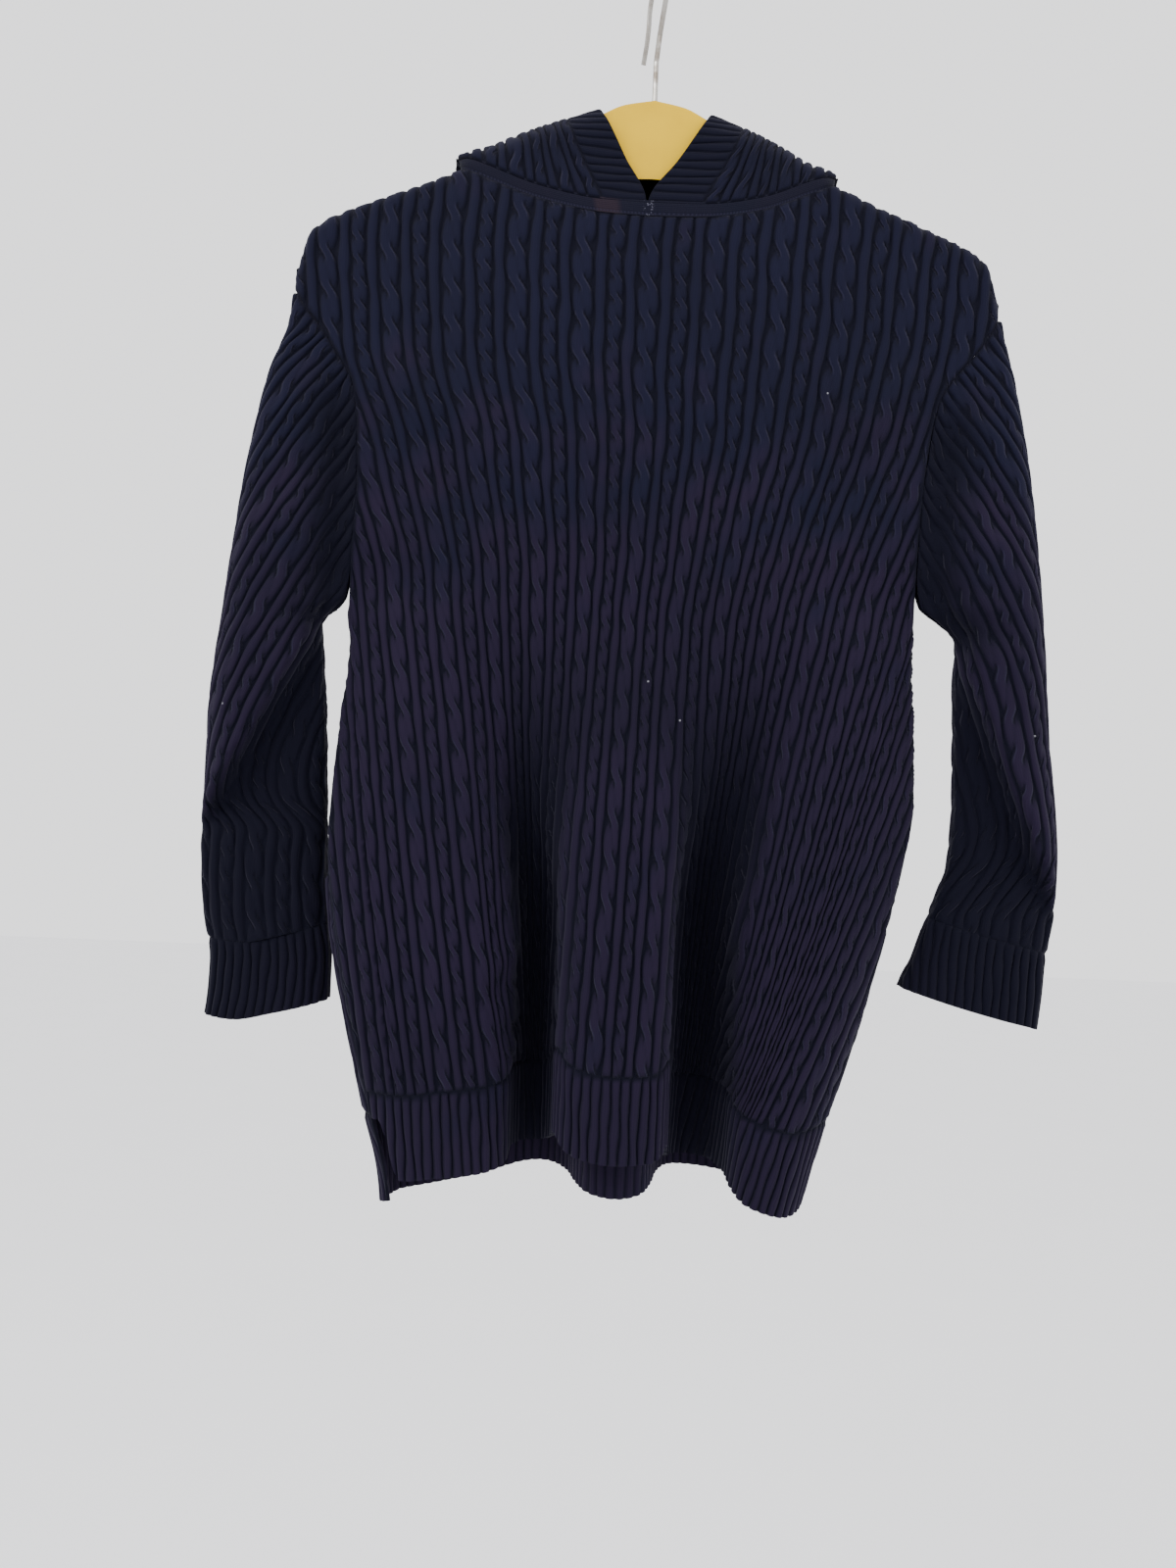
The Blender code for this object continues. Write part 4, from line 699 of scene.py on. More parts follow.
class Face:
    """One face of a piece of cloth: a grid whose points may coincide, kept once each."""

    def __init__(self, cut, marks, rows):
        cloth, pattern = cut.fitted(marks, rows)
        keys = np.round(cloth * 500).astype(np.int64)
        _, first, same = np.unique(keys, axis=0, return_index=True, return_inverse=True)
        self.ids = same.reshape(len(rows), len(marks))
        self.cloth, self.pattern = cloth[first], pattern[first]

    def faces(self):
        corners = self.ids[:-1, :-1], self.ids[:-1, 1:], self.ids[1:, 1:], self.ids[1:, :-1]
        quads = zip(*(corner.ravel().tolist() for corner in corners))
        distinct = (tuple(dict.fromkeys(quad)) for quad in quads)
        return [quad for quad in distinct if len(quad) > 2]

    def sides(self):
        """The four sides in order round the grid: for each, its points and their shares along."""
        found = []
        for side in (self.ids[0], self.ids[:, -1], self.ids[-1, ::-1], self.ids[::-1, 0]):
            kept = [number for number, _ in itertools.groupby(side.tolist())]
            steps = np.linalg.norm(np.diff(self.cloth[kept], axis=0), axis=1)
            along = np.concatenate([[0], np.cumsum(steps)])
            found.append((kept, along / max(along[-1], 1e-9)))
        return found


def zipped(first, second, offset):
    """Triangles between two lines of points that run beside each other."""
    (a, at_a), (b, at_b) = first, second
    faces, i, j = [], 0, 0
    while i < len(a) - 1 or j < len(b) - 1:
        if j == len(b) - 1 or (i < len(a) - 1 and at_a[i + 1] <= at_b[j + 1]):
            faces.append((a[i + 1], a[i], b[j] + offset))
            i += 1
        else:
            faces.append((a[i], b[j] + offset, b[j + 1] + offset))
            j += 1
    return faces


def closed(outer, inner, flip):
    """The faces of both sides and of the edges between them. The inner points follow the outer."""
    count = len(outer.cloth)
    faces = outer.faces()
    faces += [tuple(count + number for number in face[::-1]) for face in inner.faces()]
    for one, other in zip(outer.sides(), inner.sides()):
        faces += zipped(one, other, count)
    return [face[::-1] for face in faces] if flip else faces


def crease_height(cloth, creases, cut):
    """Creases that end before the cut's sides. Each has its middle (across, height),
    its turn in degrees from upright, its length, its width and how far it stands out."""
    total = np.zeros(len(cloth))
    for across, height, turn, length, width, out in creases:
        angle = math.radians(turn)
        x, z = cloth[:, 0] - across, cloth[:, 1] - height
        over = x * math.cos(angle) - z * math.sin(angle)
        along = x * math.sin(angle) + z * math.cos(angle)
        total += out * bump(over, width) * (1 - ease(np.abs(along), length * 0.15, length / 2))
    return total * ease(cut.edge_depth(cloth)[0], 0, 14)


def faded(cut, cloth, fades):
    """0 at the cut's edges, and 1 from where its sides, its bottom and its top have faded in."""
    edge = np.ones(len(cloth))
    for depth, reach in zip(cut.edge_depth(cloth), fades):
        if reach:
            edge = np.minimum(edge, ease(depth, -0.2, reach))
    return edge


def cloth_piece(name, finish, place, cut, marks, rows, relief, flip=False, creases=(),
                fades=(3.0, 3.0, 3.0), floor=FLOOR, coarse=(7.0, 9.0), calm=None, dent=None,
                shade=None, inside=None):
    """A closed piece of knitted cloth: relief outside, plain inside unless inside gives a relief.
    fades: how far in from its sides, its bottom and its top the relief reaches its height. coarse:
    the steps of a plain inside. calm: scales the relief. dent: moves cloth in or out. shade: how
    much darker the cloth is, from 0 to 1."""

    def raised(face, normal, level):
        bend = crease_height(face.cloth, creases, cut) + (dent(face.cloth) if dent else 0)
        return place(face.cloth) + normal * (level + bend)[:, None]

    outer = Face(cut, marks, rows)
    height, beside, strand = relief(outer.pattern, outer.cloth[:, 1])
    normal, stretched = facing(place, outer.cloth, flip)
    edge = faded(cut, outer.cloth, fades)
    height = height * edge * np.clip(stretched, 0.35, 1)
    if calm:
        height = height * calm(outer.cloth)
    outer_points = raised(outer, normal, floor * edge + height)
    if not inside:
        marks = np.arange(marks[0], marks[-1] + coarse[0], coarse[0])
        rows = np.linspace(rows[0], rows[-1], max(2, round((rows[-1] - rows[0]) / coarse[1]) + 1))
    inner = Face(cut, marks, rows)
    back, count = inner.cloth, len(inner.cloth)
    inner_relief = inside(inner.pattern, back[:, 1])[0] if inside else np.zeros(count)
    inner_points = raised(inner, facing(place, back, flip)[0], INSIDE - inner_relief)
    made = mesh_object(name, np.concatenate([outer_points, inner_points]) * MM,
                       closed(outer, inner, flip), finish)
    both = np.concatenate([outer.cloth, back])
    stitch = np.concatenate([np.column_stack([beside, outer.cloth[:, 1]]), back])
    add_attributes(made, {
        "stitch": stitch * MM,
        "cloth": both * MM,
        "strand": np.concatenate([strand, np.zeros((count, 3))]),
        # relief also sets how dark the knit is painted in its grooves, as shade; the inside gets set
        # values
        "relief": np.concatenate([height, inner_relief + (0.6 if inside else 1.2)]),
        "shade": shade(both, place(both)) if shade else np.zeros(len(both)),
    })
    return made


def mesh_object(name, points, faces, finish, sharp=math.radians(80)):
    mesh = bpy.data.meshes.new(name)
    mesh.from_pydata(points.tolist(), [], faces)
    mesh.materials.append(finish)
    mesh.shade_smooth()
    if sharp:
        mesh.set_sharp_from_angle(angle=sharp)
    made = bpy.data.objects.new(name, mesh)
    bpy.context.scene.collection.objects.link(made)
    return made


def add_attributes(made, named):
    """Values that the knit material reads at each point: plain numbers, or rows of numbers."""
    for label, values in named.items():
        if values.ndim == 1:
            held = made.data.attributes.new(label, "FLOAT", "POINT")
            held.data.foreach_set("value", values.astype(np.float32))
            continue
        full = np.zeros((len(values), 3))
        full[:, :values.shape[1]] = values
        held = made.data.attributes.new(label, "FLOAT_VECTOR", "POINT")
        held.data.foreach_set("vector", full.ravel().astype(np.float32))


# ---- materials ----


class Nodes:
    """A short way to build a material's nodes."""

    def __init__(self, name):
        self.made = bpy.data.materials.new(name)
        self.made.use_nodes = True
        self.tree = self.made.node_tree
        self.shader = self.tree.nodes["Principled BSDF"]

    def add(self, kind, inputs=(), **settings):
        node = self.tree.nodes.new(kind)
        for key, value in settings.items():
            setattr(node, key, value)
        for key, value in dict(inputs).items():
            self.join(value, node.inputs[key])
        return node

    def join(self, value, socket):
        """Links an output, or sets a number, a vector or a colour."""
        if isinstance(value, bpy.types.NodeSocket):
            self.tree.links.new(value, socket)
        elif isinstance(value, tuple) and socket.type == "RGBA":
            socket.default_value = (*value, 1)
        else:
            socket.default_value = value

    def math(self, operation, *values):
        node = self.add("ShaderNodeMath", operation=operation)
        for socket, value in zip(node.inputs, values):
            self.join(value, socket)
        return node.outputs[0]

    def times(self, first, second):
        return self.math("MULTIPLY", first, second)

    def apart(self, first, second):
        """How far two values lie from each other."""
        return self.math("ABSOLUTE", self.math("SUBTRACT", first, second))

    def mix(self, factor, first, second):
        node = self.add("ShaderNodeMix", data_type="RGBA")
        for number, value in ((0, factor), (6, first), (7, second)):
            self.join(value, node.inputs[number])
        return node.outputs[2]

    def ranged(self, value, low, high, to_low=0.0, to_high=1.0):
        node = self.add("ShaderNodeMapRange", {0: value, 1: low, 2: high, 3: to_low, 4: to_high})
        return node.outputs[0]

    def attribute(self, label, output="Vector"):
        return self.add("ShaderNodeAttribute", attribute_name=label).outputs[output]

    def parts(self, vector):
        return self.add("ShaderNodeSeparateXYZ", {0: vector}).outputs

    def noise(self, vector, scale, detail=2.0):
        inputs = {"Vector": vector, "Scale": scale, "Detail": detail}
        return self.add("ShaderNodeTexNoise", inputs).outputs[0]

    def bump(self, strength, distance, height, **more):
        inputs = {"Strength": strength, "Distance": distance, "Height": height, **more}
        return self.add("ShaderNodeBump", inputs).outputs[0]

    def finish(self, **inputs):
        """Sets the shader's sockets, named with _ for a space."""
        for key, value in inputs.items():
            self.join(value, self.shader.inputs[key.replace("_", " ")])
        return self.made


def crossing_marks(n):
    """Where two strands of a cable cross: the dark line of painted shade along the edges of the
    strand on top, and the pale line of painted highlight just inside it."""
    share, turns, weight = n.parts(n.attribute("strand"))
    past = n.math("WRAP", turns, 0.5, -0.5)
    middle = n.times(n.math("TANH", n.math("DIVIDE", past, 0.17)), -0.43)
    beside = n.apart(share, middle)
    near = n.times(weight, n.ranged(n.math("ABSOLUTE", past), 0.13, 0.27, 1.0, 0.0))
    crevice = n.times(near, n.ranged(n.apart(beside, 0.6), 0.04, 0.17, 1.0, 0.0))
    # Painted highlight just inside the crevice
    crossing_highlight = n.times(near, n.ranged(n.apart(beside, 0.42), 0.02, 0.14, 1.0, 0.0))
    return crevice, crossing_highlight


def stitch_relief(n, across, up):
    """Height of the rows of small slanting stitches, from 0 to about 1."""
    wale, row = 1.35 * MM, 1.15 * MM
    column = n.math("PINGPONG", across, wale / 2)
    loop = n.math("PINGPONG", n.math("ADD", up, n.times(column, 1.1)), row / 2)
    loop_height, column_height = n.ranged(loop, 0.0, row / 2), n.ranged(column, 0.0, wale / 2)
    return n.math("ADD", n.times(loop_height, 0.6), n.times(column_height, 0.5))


def lint_specks(n, cloth):
    """1 on a few small specks."""
    cells = n.add("ShaderNodeTexVoronoi", {"Vector": cloth, "Scale": 95.0, "Randomness": 1.0})
    near = n.math("LESS_THAN", cells.outputs["Distance"], 0.06)
    chosen = n.add("ShaderNodeSeparateColor", {0: cells.outputs["Color"]}).outputs[0]
    return n.times(near, n.math("GREATER_THAN", chosen, 0.965))


def knit_material():
    """Cotton knit: rows of small slanting stitches, soft sheen, uneven dye, lint, painted shade and
    painted highlights.
    """
    n = Nodes("navy_knit")
    stitch, cloth = n.attribute("stitch"), n.attribute("cloth")
    relief, shade = n.attribute("relief", "Fac"), n.attribute("shade", "Fac")
    across, up, _ = n.parts(stitch)
    stitches = stitch_relief(n, across, up)
    fuzz = n.noise(cloth, 2600.0, 3.0)
    fine = n.bump(0.55, 0.00028, n.math("ADD", stitches, n.times(fuzz, 0.5)))
    crevice, crossing_highlight = crossing_marks(n)
    bumps = n.bump(0.9, 0.0011, n.math("SUBTRACT", 1.0, crevice), Normal=fine)
    patch, hue = n.noise(cloth, 9.0, 3.0), n.noise(cloth, 21.0, 2.0)
    # More purple and a little paler further down the cloth, with random change
    lower = n.math("ADD", n.ranged(n.parts(cloth)[1], -0.24, -0.46, -0.25, 0.25), hue)
    tone = n.mix(n.ranged(lower, 0.35, 0.65), NAVY, PURPLE)
    tone = n.mix(n.ranged(patch, 0.3, 0.75, 0.0, 0.35), tone, DEEP)
    # Painted shade: darker where the relief is low, in the grooves and on the inside
    tone = n.mix(n.ranged(relief, 0.45, 1.9, 1.0, 0.0), tone, DEEP)
    # Painted shade from the shade attribute: in the front's valleys, beside the armholes and under
    # the sleeves' folds; the hood's border is evenly darker
    tone = n.mix(shade, tone, DEEP)
    # Painted shade in the gaps between the stitches
    tone = n.mix(n.ranged(stitches, 0.05, 0.7, 0.35, 0.0), tone, DEEP)
    # The painted highlight at the crossings fades out where painted shade lies
    unshaded = n.math("SUBTRACT", 1.0, shade)
    crossing_highlight = n.times(crossing_highlight, n.times(unshaded, unshaded))
    tone = n.mix(n.times(crossing_highlight, 0.45), tone, HIGHLIGHT_AND_THREAD)
    # Painted shade in the crevices where the strands cross
    tone = n.mix(n.times(crevice, 0.88), tone, DEEP)
    tone = n.mix(n.times(lint_specks(n, cloth), 0.4), tone, LINT)
    return n.finish(Base_Color=tone, Roughness=0.88, Normal=bumps, Sheen_Weight=0.05,
                    Sheen_Roughness=0.45, Sheen_Tint=SHEEN, Specular_IOR_Level=0.12)


def tape_material():
    """Flat woven-looking band with a row of stitching and one faded reddish patch."""
    n = Nodes("neck_tape")
    cloth = n.attribute("cloth")
    across, up, _ = n.parts(cloth)
    weave = n.add("ShaderNodeTexWave", {"Vector": cloth, "Scale": 240.0, "Distortion": 1.5})
    rows, loops = n.math("PINGPONG", up, 0.6 * MM), n.math("PINGPONG", across, 1.1 * MM)
    height = n.math("ADD", n.ranged(rows, 0.0, 0.6 * MM), n.ranged(loops, 0.0, 1.1 * MM))
    tone = n.mix(n.ranged(n.noise(cloth, 40.0, 2.0), 0.3, 0.7), *TAPE_TONES)
    tone = n.mix(n.times(weave.outputs["Fac"], 0.25), tone, DEEP)
    faded_patch = n.ranged(n.apart(across, FADED_AT * MM), 6 * MM, 9.5 * MM, 0.7, 0.0)
    tone = n.mix(faded_patch, tone, FADED)
    flecks = n.add("ShaderNodeTexVoronoi", {"Vector": cloth, "Scale": 900.0})
    by_flecks = n.ranged(n.apart(across, FLECKS_AT * MM), 1.5 * MM, 3 * MM, 1.0, 0.0)
    worn = n.times(by_flecks, n.math("LESS_THAN", flecks.outputs["Distance"], 0.28))
    tone = n.mix(n.times(worn, 0.3), tone, FLECK)
    by_row = n.ranged(n.apart(up, SEWN_AT[0] * MM), 0.3 * MM, 0.7 * MM, 1.0, 0.0)
    sewn = n.times(by_row, n.ranged(loops, 0.2 * MM, 0.9 * MM))
    # The row of stitching thread, in the same pale tone as the painted crossing highlights
    tone = n.mix(n.times(sewn, 0.5), tone, HIGHLIGHT_AND_THREAD)
    return n.finish(Base_Color=tone, Roughness=0.92, Normal=n.bump(0.6, 0.0002, height),
                    Sheen_Weight=0.03, Specular_IOR_Level=0.12)


def plastic_material():
    """Moulded yellow plastic, a little worn and dusty, with fine scratches."""
    n = Nodes("yellow_plastic")
    place = n.add("ShaderNodeTexCoord").outputs["Object"]
    cloud, fine = n.noise(place, 22.0, 4.0), n.noise(place, 900.0, 3.0)
    tone = n.mix(n.ranged(cloud, 0.35, 0.7), YELLOW, OCHRE)
    stretched = n.add("ShaderNodeMapping", {"Vector": place, "Scale": (1.0, 1.0, 14.0)})
    scratch = n.noise(stretched.outputs[0], 160.0, 2.0)
    tone = n.mix(n.ranged(scratch, 0.66, 0.78, 0.0, 0.35), tone, SCRATCH)
    return n.finish(Base_Color=tone, Roughness=n.ranged(cloud, 0.3, 0.7, 0.42, 0.6),
                    Normal=n.bump(0.16, 0.0003, fine), Specular_IOR_Level=0.15)


def steel_material():
    """Dull wire with darker spots."""
    n = Nodes("hook_steel")
    place = n.add("ShaderNodeTexCoord").outputs["Object"]
    cloud, fine = n.noise(place, 120.0, 4.0), n.noise(place, 1500.0, 2.0)
    tone = n.mix(n.ranged(cloud, 0.4, 0.7), *STEEL_TONES)
    return n.finish(Base_Color=tone, Roughness=n.ranged(cloud, 0.3, 0.8, 0.32, 0.6), Metallic=1.0,
                    Normal=n.bump(0.2, 0.0001, fine))


def floor_material():
    n = Nodes("floor")
    place = n.add("ShaderNodeTexCoord").outputs["Object"]
    return n.finish(Base_Color=n.mix(n.noise(place, 3.0, 3.0), *FLOOR_TONES), Roughness=0.8)


# ---- front and back ----


def body_ends(height, along, x):
    """Ends of a body slice across: at the armhole, or at the side seams."""
    if height > UNDERARM:
        return [float(np.interp(through(ARMHOLE, height, k), x, along)) for k in (1, 2)]
    return [float(along[int(np.argmin(np.abs(BODY_SAMPLES - side)))]) for side in (-1, 1)]


def body_hanging(front):
    return Hanging(lambda height: body_slice(height, front), len(BODY_SAMPLES) // 2,
                   (-805.0, -138.0), 330.0, body_ends)


def ring_points(share):
    """Points of the neck seam."""
    return hood_place(np.column_stack([share, np.zeros(len(share))]))


def top_line(panel, front):
    """The neck seam and the shoulder seams: across the cloth and height, from the left."""
    shares = NECK_SHARES if front else NECK_SHARES[::-1] - 0.5
    left, right = ring_points(-shares), ring_points(shares[::-1])
    neck = np.concatenate([left, right[1:]])[:, [0, 2]]
    outs = np.linspace(0.5, 1, 40) * SHOULDER_END
    first, last = 0.5 - neck[0, 0], neck[-1, 0] + 0.5
    points = [(-x, float(ridge_height(-x)) + SEAM_CREST) for x in outs[::-1] if x > first]
    points += neck.tolist()
    points += [(x, float(ridge_height(x)) + SEAM_CREST) for x in outs if x > last]
    return np.array([(float(panel.across_of(x, z)), z) for x, z in points])


def body_cut(panel, front, band=False):
    """The cut of a panel, or of its hem band."""
    line = top_line(panel, front)
    table = HEM_LINE_FRONT if front else HEM_LINE_BACK
    band_table = [(-1.0, table[1][1]), *table[1:]] if front else table
    left, right = panel.low(HEM_LEVEL), panel.high(HEM_LEVEL)

    def hem(across, level=table):
        return through(level, np.where(across < 0, -across / left, across / right))

    def band_top(across):
        return hem(across, band_table) + HEM_BAND

    if band:
        return Cut(panel.low, panel.high, hem, band_top, band_wales() if front else None)
    return Cut(panel.low, panel.high, lambda across: band_top(across) - OVERLAP,
               lambda across: np.interp(across, line[:, 0], line[:, 1]), body_wales(panel, front))


def upper_across(mark, height):
    """Wales above FAN_FOOT: they fan out towards the shoulders."""
    stretch = through(BODY_STRETCH, height)
    near = np.clip(mark, -FAN_TO, FAN_TO)
    sway = 1.2 * np.sin(height / 31.0) + 0.8 * np.sin(height / 12.7 + 1.3)
    return near * stretch + (mark - near) * (1 + (stretch - 1) * 0.65) + sway


def body_wales(panel, front):
    """The wales of a panel: fanned above FAN_FOOT, and straight as seen from the front below."""
    foot, hem = np.array(FRONT_WALES if front else BACK_WALES, float).T

    def across_of(mark, height):
        if height >= FAN_FOOT:
            return upper_across(mark, height)
        start = panel.x_of(upper_across(mark, FAN_FOOT), FAN_FOOT)
        share = (FAN_FOOT - height) / (FAN_FOOT - HEM_LEVEL)
        return panel.across_of(start + (np.interp(start, foot, hem) - start) * share, height)

    return Wales(-806.0, -138.0, across_of)


def band_wales():
    """The ribs of the front's hem band, which lean."""
    places, leans = np.array(BAND_LEAN, float).T
    return Wales(-806.0, -690.0,
                 lambda mark, height: mark + np.interp(mark, places, leans) * (height + 745.0))


def valley_shade(cloth, places):
    """Painted shade: the cloth is darker deep inside the two valleys."""
    deep = ease(places[:, 1], *VALLEY_FRONT) * ease(-cloth[:, 1], *VALLEY_TOP)
    return 0.95 * deep * (1 - ease(np.abs(places[:, 0] - 3), *VALLEY_SIDES))


def banded(name, finish, place, cut, rows, low, high, **more):
    """A ribbed band, with ribs inside too, between those outside."""
    return cloth_piece(name, finish, place, cut, rib_marks(low, high, RIB), rows, ribs(RIB, 2.0),
                       fades=(3.0, 0, 3.0), inside=ribs(RIB, 1.3, RIB / 2), **more)


def declared(name, piece, band=None):
    """Puts a piece in the place of its solid."""
    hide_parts(name)
    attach(piece, "root")
    if band:
        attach(band, "root")


def body_pieces(front, finish):
    name = "front" if front else "back"
    panel = body_hanging(front)
    # Painted shade in the valleys, on the front and its hem band
    shade = valley_shade if front else None
    piece = cloth_piece(name + "_cloth", finish, panel.place, body_cut(panel, front),
                        cable_marks(380), np.arange(-748.0, -140.0, 2.5 if front else 3.4), cables,
                        flip=not front, creases=FRONT_CREASES if front else BACK_CREASES,
                        fades=(3.0, 2.5, 2.5), shade=shade)
    band = banded(name + "_hem", finish, panel.place, body_cut(panel, front, band=True),
                  np.arange(-800.0, -692.0, 5.0), panel.low(-740.0), panel.high(-740.0),
                  flip=not front, shade=shade)
    declared(name, piece, band)
    return piece, band


# ---- sleeves ----


def sleeve_hanging(left):
    return Hanging(lambda height: sleeve_slice(height, left), len(SLEEVE_SAMPLES) - 1,
                   (-705.0, -226.0), 130.0, lambda _height, along, _x: [along[0], along[-1]])


def sleeve_cut(panel, left, band=False):
    """The cut of a sleeve, or of its cuff."""
    column = 1 if left else 2
    reach = panel.high(CUFF_LEVEL)

    def cuff(across):
        return through(CUFF_LINE, np.abs(across) / reach, column)

    if band:
        return Cut(panel.low, panel.high, cuff, lambda across: cuff(across) + CUFF_BAND)
    wales = Wales(-706.0, -224.0, lambda mark, height: mark + through(SLEEVE_LEAN, height, column))
    return Cut(panel.low, panel.high, lambda across: cuff(across) + CUFF_BAND - OVERLAP,
               lambda across: np.full(len(across), SLEEVE_TOP), wales)


def by_armhole(cut, cloth):
    """How far points lie from the armhole, and how much it runs beside the body there."""
    sides = cut.edge_depth(cloth)[0]
    beside = ease(-cloth[:, 1], *ARMHOLE_START) * (1 - ease(-cloth[:, 1], *ARMHOLE_STOP))
    return sides, beside


def armhole_dent(cut):
    """The cloth is drawn in along the armhole's seam."""

    def dent(cloth):
        sides, beside = by_armhole(cut, cloth)
        return -4.5 * beside * bump(sides - 11, 8)

    return dent


def sleeve_shade(cut, left):
    """Painted shade: dark beside the armhole, and under the slanting fold."""

    def shade(cloth, places):
        sides, beside = by_armhole(cut, cloth)
        # Painted shade along the armhole, where the sleeve lies back from the body
        seam = beside * (1 - ease(sides, 12, 46))
        under = below_fold(places[:, 0], cloth[:, 1], left)
        fold = ease(under, 1, 4) * (1 - 0.45 * ease(under, 60, 160)) * (places[:, 1] < 2)
        return 0.97 * np.maximum(seam, fold)

    return shade


def sleeve_pieces(left, finish):
    name = "sleeve_left" if left else "sleeve_right"
    panel = sleeve_hanging(left)

    def place(cloth):
        points = panel.place(cloth)
        points[:, 1] *= np.sqrt(np.clip((SLEEVE_TOP - cloth[:, 1]) / 2.6, 0, 1))
        return points

    cut, band_cut = sleeve_cut(panel, left), sleeve_cut(panel, left, band=True)
    rows = np.append(np.arange(-650.0, -229.0, 2.3), [-228.0, -227.2, -226.5, SLEEVE_TOP])
    piece = cloth_piece(name + "_cloth", finish, place, cut, cable_marks(200), rows, cables,
                        flip=not left, fades=(3.0, 2.5, 2.0), creases=SLEEVE_CREASES,
                        dent=armhole_dent(cut), shade=sleeve_shade(cut, left))
    # The cuff takes the same painted shade under the fold
    band = banded(name + "_cuff", finish, panel.place, band_cut, np.arange(-696.0, -600.0, 5.0),
                  panel.low(CUFF_LEVEL), panel.high(CUFF_LEVEL), flip=not left,
                  shade=sleeve_shade(band_cut, left))
    declared(name, piece, band)
    return piece, band


# ---- hood, border and tape ----


def constant(value):
    return lambda numbers: np.full(len(numbers), float(value))


def hood_pieces(finish):
    """The hood, and the ribbed border along its edge."""

    def place(cloth):
        return hood_place(np.column_stack([np.clip(cloth[:, 0] / HALF_RING, -1, 1), cloth[:, 1]]))

    def calm(cloth):
        return 1 - 0.75 * ease(cloth[:, 1], 230, HOOD_LENGTH)

    reach = HALF_RING * (1 - BORDER_SHARE) + 0.4
    cut = Cut(constant(-reach), constant(reach), constant(UNDER_TAPE), constant(HOOD_LENGTH))
    rows = np.concatenate([np.arange(UNDER_TAPE, 120, 2.2), np.arange(120, HOOD_LENGTH + 3, 3.2)])
    piece = cloth_piece("hood_cloth", finish, place, cut, cable_marks(270), rows, cables,
                        flip=True, fades=(3.0, 2.5, 2.5), calm=calm, coarse=(6.0, 6.0))
    border = border_piece(finish)
    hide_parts("hood_border")
    declared("hood", piece, border)
    return piece, border


def border_place(cloth):
    """Border points: along it from the left front over the crown to the right front, and in from
    the hood's edge."""
    left = cloth[:, 0] < HOOD_LENGTH
    up = np.where(left, cloth[:, 0], 2 * HOOD_LENGTH - cloth[:, 0])
    share = 1 - np.clip(cloth[:, 1], 0, None) / HALF_RING
    return hood_place(np.column_stack([np.where(left, -share, share), up]))


def border_piece(finish):
    wide = HALF_RING * BORDER_SHARE
    low, high = UNDER_TAPE, 2 * HOOD_LENGTH - UNDER_TAPE
    cut = Cut(constant(low), constant(high), constant(0.0), constant(wide))
    rows = np.array([0.0, 0.6, 1.6, 3.2, 8.0, 13.0, 18.0, 22.5, 24.5, 25.8, wide])
    return cloth_piece("hood_border_cloth", finish, border_place, cut,
                       rib_marks(low, high, BORDER_RIB), rows, ribs(BORDER_RIB, 1.1),
                       fades=(2.0, 1.6, 2.0), coarse=(7.0, 6.0),
                       shade=lambda cloth, _places: np.full(len(cloth), 0.2))


def tape_piece(finish):
    """The tape round the neck. Its cloth starts and ends at the middle of the back."""

    def place(cloth):
        share = cloth[:, 0] / HALF_RING
        around = np.where(share < -1, share + 2, share)
        return hood_place(np.column_stack([around, cloth[:, 1]]))

    def relief(across, up):
        lines = sum(bump(up - row, 0.5) for row in SEWN_AT)
        return 0.5 - 0.35 * lines, across, np.zeros((len(across), 3))

    def sunk(cloth):
        points = (HALF_RING / 2, HALF_RING * 1.5)
        from_point = np.minimum(*(np.abs(cloth[:, 0] + point) for point in points))
        return -1.5 * bump(from_point, 16)

    cut = Cut(constant(-2 * HALF_RING + 0.3), constant(-0.3), constant(-0.9), constant(TAPE_WIDTH))
    rows = np.array([-0.9, -0.3, 0.6, 1.4, 2.2, 3.4, 5.0, 6.8, 8.0, 8.8, 9.6, 10.0])
    piece = cloth_piece("neck_tape_cloth", finish, place, cut, np.arange(-2 * HALF_RING, 1, 2.4),
                        rows, relief, flip=True, fades=(0, 0.8, 0.8), floor=-0.3,
                        coarse=(8.0, 5.0), dent=sunk)
    declared("neck_tape", piece)
    return piece


# ---- hanger ----


def hanger_outline():
    """The hanger's outline from the front, and which way is in at each point."""
    outs = np.concatenate([np.linspace(0, 60, 16)[:-1], np.linspace(60, 205, 26)])
    top = [(x, float(through(HANGER, x, 1))) for x in outs]
    bottom = [(x, float(through(HANGER, x, 2))) for x in outs[::2]]
    middle, radius = HANGER_TIP
    tip = [(HANGER_END - radius + radius * math.cos(a), middle + radius * math.sin(a))
           for a in np.linspace(math.radians(60), math.radians(-60), 10)]
    right = top + tip + bottom[::-1]
    ring = right + [(-x, z) for x, z in right[::-1] if x > 0]
    ring = np.array([(x, z - TILT * x) for x, z in ring])
    along = np.roll(ring, -1, axis=0) - np.roll(ring, 1, axis=0)
    inward = np.column_stack([along[:, 1], -along[:, 0]])
    return ring, inward / np.linalg.norm(inward, axis=1)[:, None]


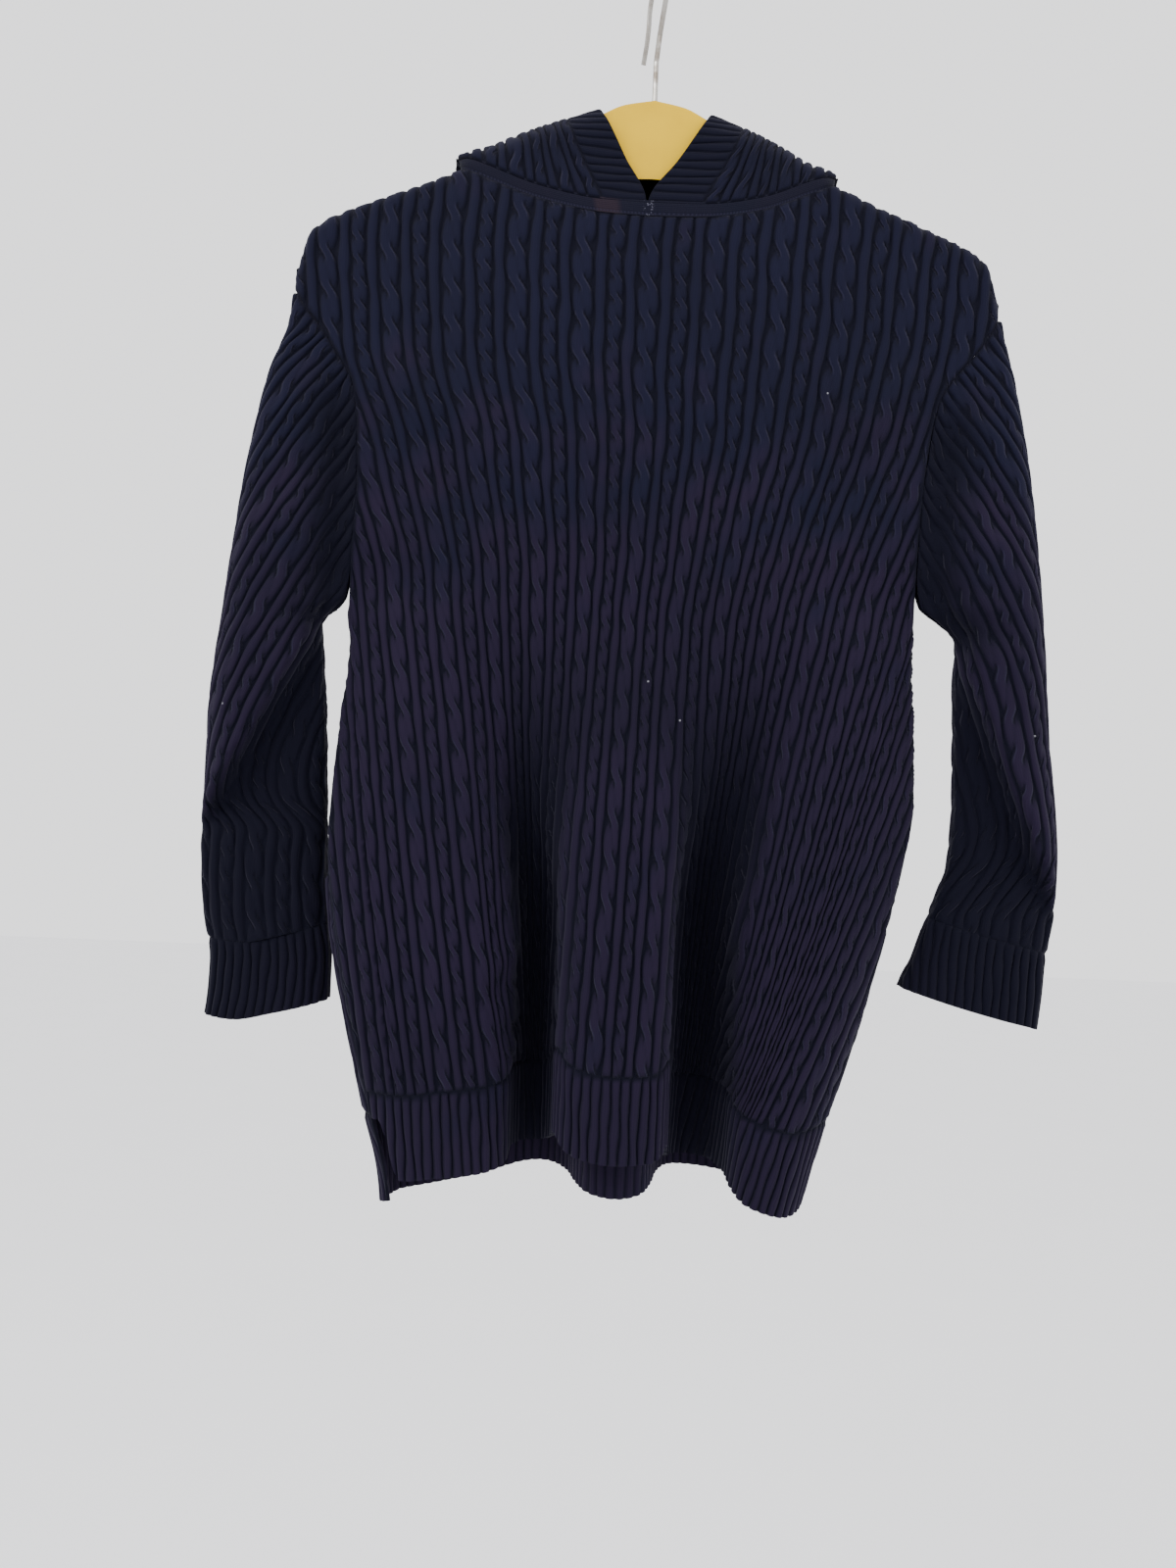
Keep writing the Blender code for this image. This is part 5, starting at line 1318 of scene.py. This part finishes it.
def hanger_piece(finish):
    """The flat hanger with rounded edges."""
    ring, inward = hanger_outline()
    half = HANGER_THICK / 2
    levels = [(-half + HANGER_SOFT * (1 - math.sin(a)), HANGER_SOFT * (1 - math.cos(a)))
              for a in np.linspace(math.pi / 2, 0, 6)]
    levels += [(-y, inset) for y, inset in levels[::-1]]
    points = np.array([(x, y, z) for y, inset in levels for x, z in ring + inward * inset])
    count, last = len(ring), (len(levels) - 1) * len(ring)
    faces = []
    for start in range(0, last, count):
        for i in range(count):
            a, b = start + i, start + (i + 1) % count
            faces.append((a, b, b + count, a + count))
    faces += [tuple(range(count))[::-1], tuple(range(last, last + count))]
    made = mesh_object("hanger_plastic", points * MM, faces, finish, math.radians(35))
    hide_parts("hanger_body")
    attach(made, "root")
    return made


# ---- stage ----


def build_camera():
    camera = bpy.data.cameras.new("camera")
    camera.lens = CAMERA_LENS
    camera.sensor_width = CAMERA_SENSOR
    camera.sensor_fit = "AUTO"
    made = bpy.data.objects.new("camera", camera)
    bpy.context.scene.collection.objects.link(made)
    forward = Vector((0, math.cos(CAMERA_PITCH), math.sin(CAMERA_PITCH)))
    turn = forward.to_track_quat("-Z", "Y").to_matrix().to_4x4()
    place = Matrix.Translation(Vector(CAMERA_AT))
    made.matrix_world = place @ turn @ Matrix.Rotation(CAMERA_ROLL, 4, "Z")
    bpy.context.scene.camera = made


def area_light(name, at, towards, size, power):
    light = bpy.data.lights.new(name, "AREA")
    light.size = size
    light.energy = power
    made = bpy.data.objects.new(name, light)
    made.location = at
    made.rotation_euler = (Vector(towards) - Vector(at)).to_track_quat("-Z", "Y").to_euler()
    bpy.context.scene.collection.objects.link(made)


def build_stage():
    """A plain pale floor and background, with soft light from both sides."""
    build_camera()
    for light in LIGHTS:
        area_light(*light)
    world = bpy.data.worlds.new("world")
    world.use_nodes = True
    background = world.node_tree.nodes["Background"]
    background.inputs["Color"].default_value = WORLD_TONE
    background.inputs["Strength"].default_value = WORLD_STRENGTH
    bpy.context.scene.world = world
    corners = np.array([(x, y, FLOOR_LEVEL) for x, y in FLOOR_CORNERS])
    mesh_object("floor", corners, [(0, 1, 2, 3)], floor_material(), None)


def main():
    knit = knit_material()
    frame["nodes"]["hanger_hook"].material_slots[0].material = steel_material()
    cloth = [*body_pieces(True, knit), *body_pieces(False, knit)]
    cloth += [*sleeve_pieces(True, knit), *sleeve_pieces(False, knit)]
    tape_piece(tape_material())
    cloth += hood_pieces(knit)
    hanger_piece(plastic_material())
    build_stage()


main()
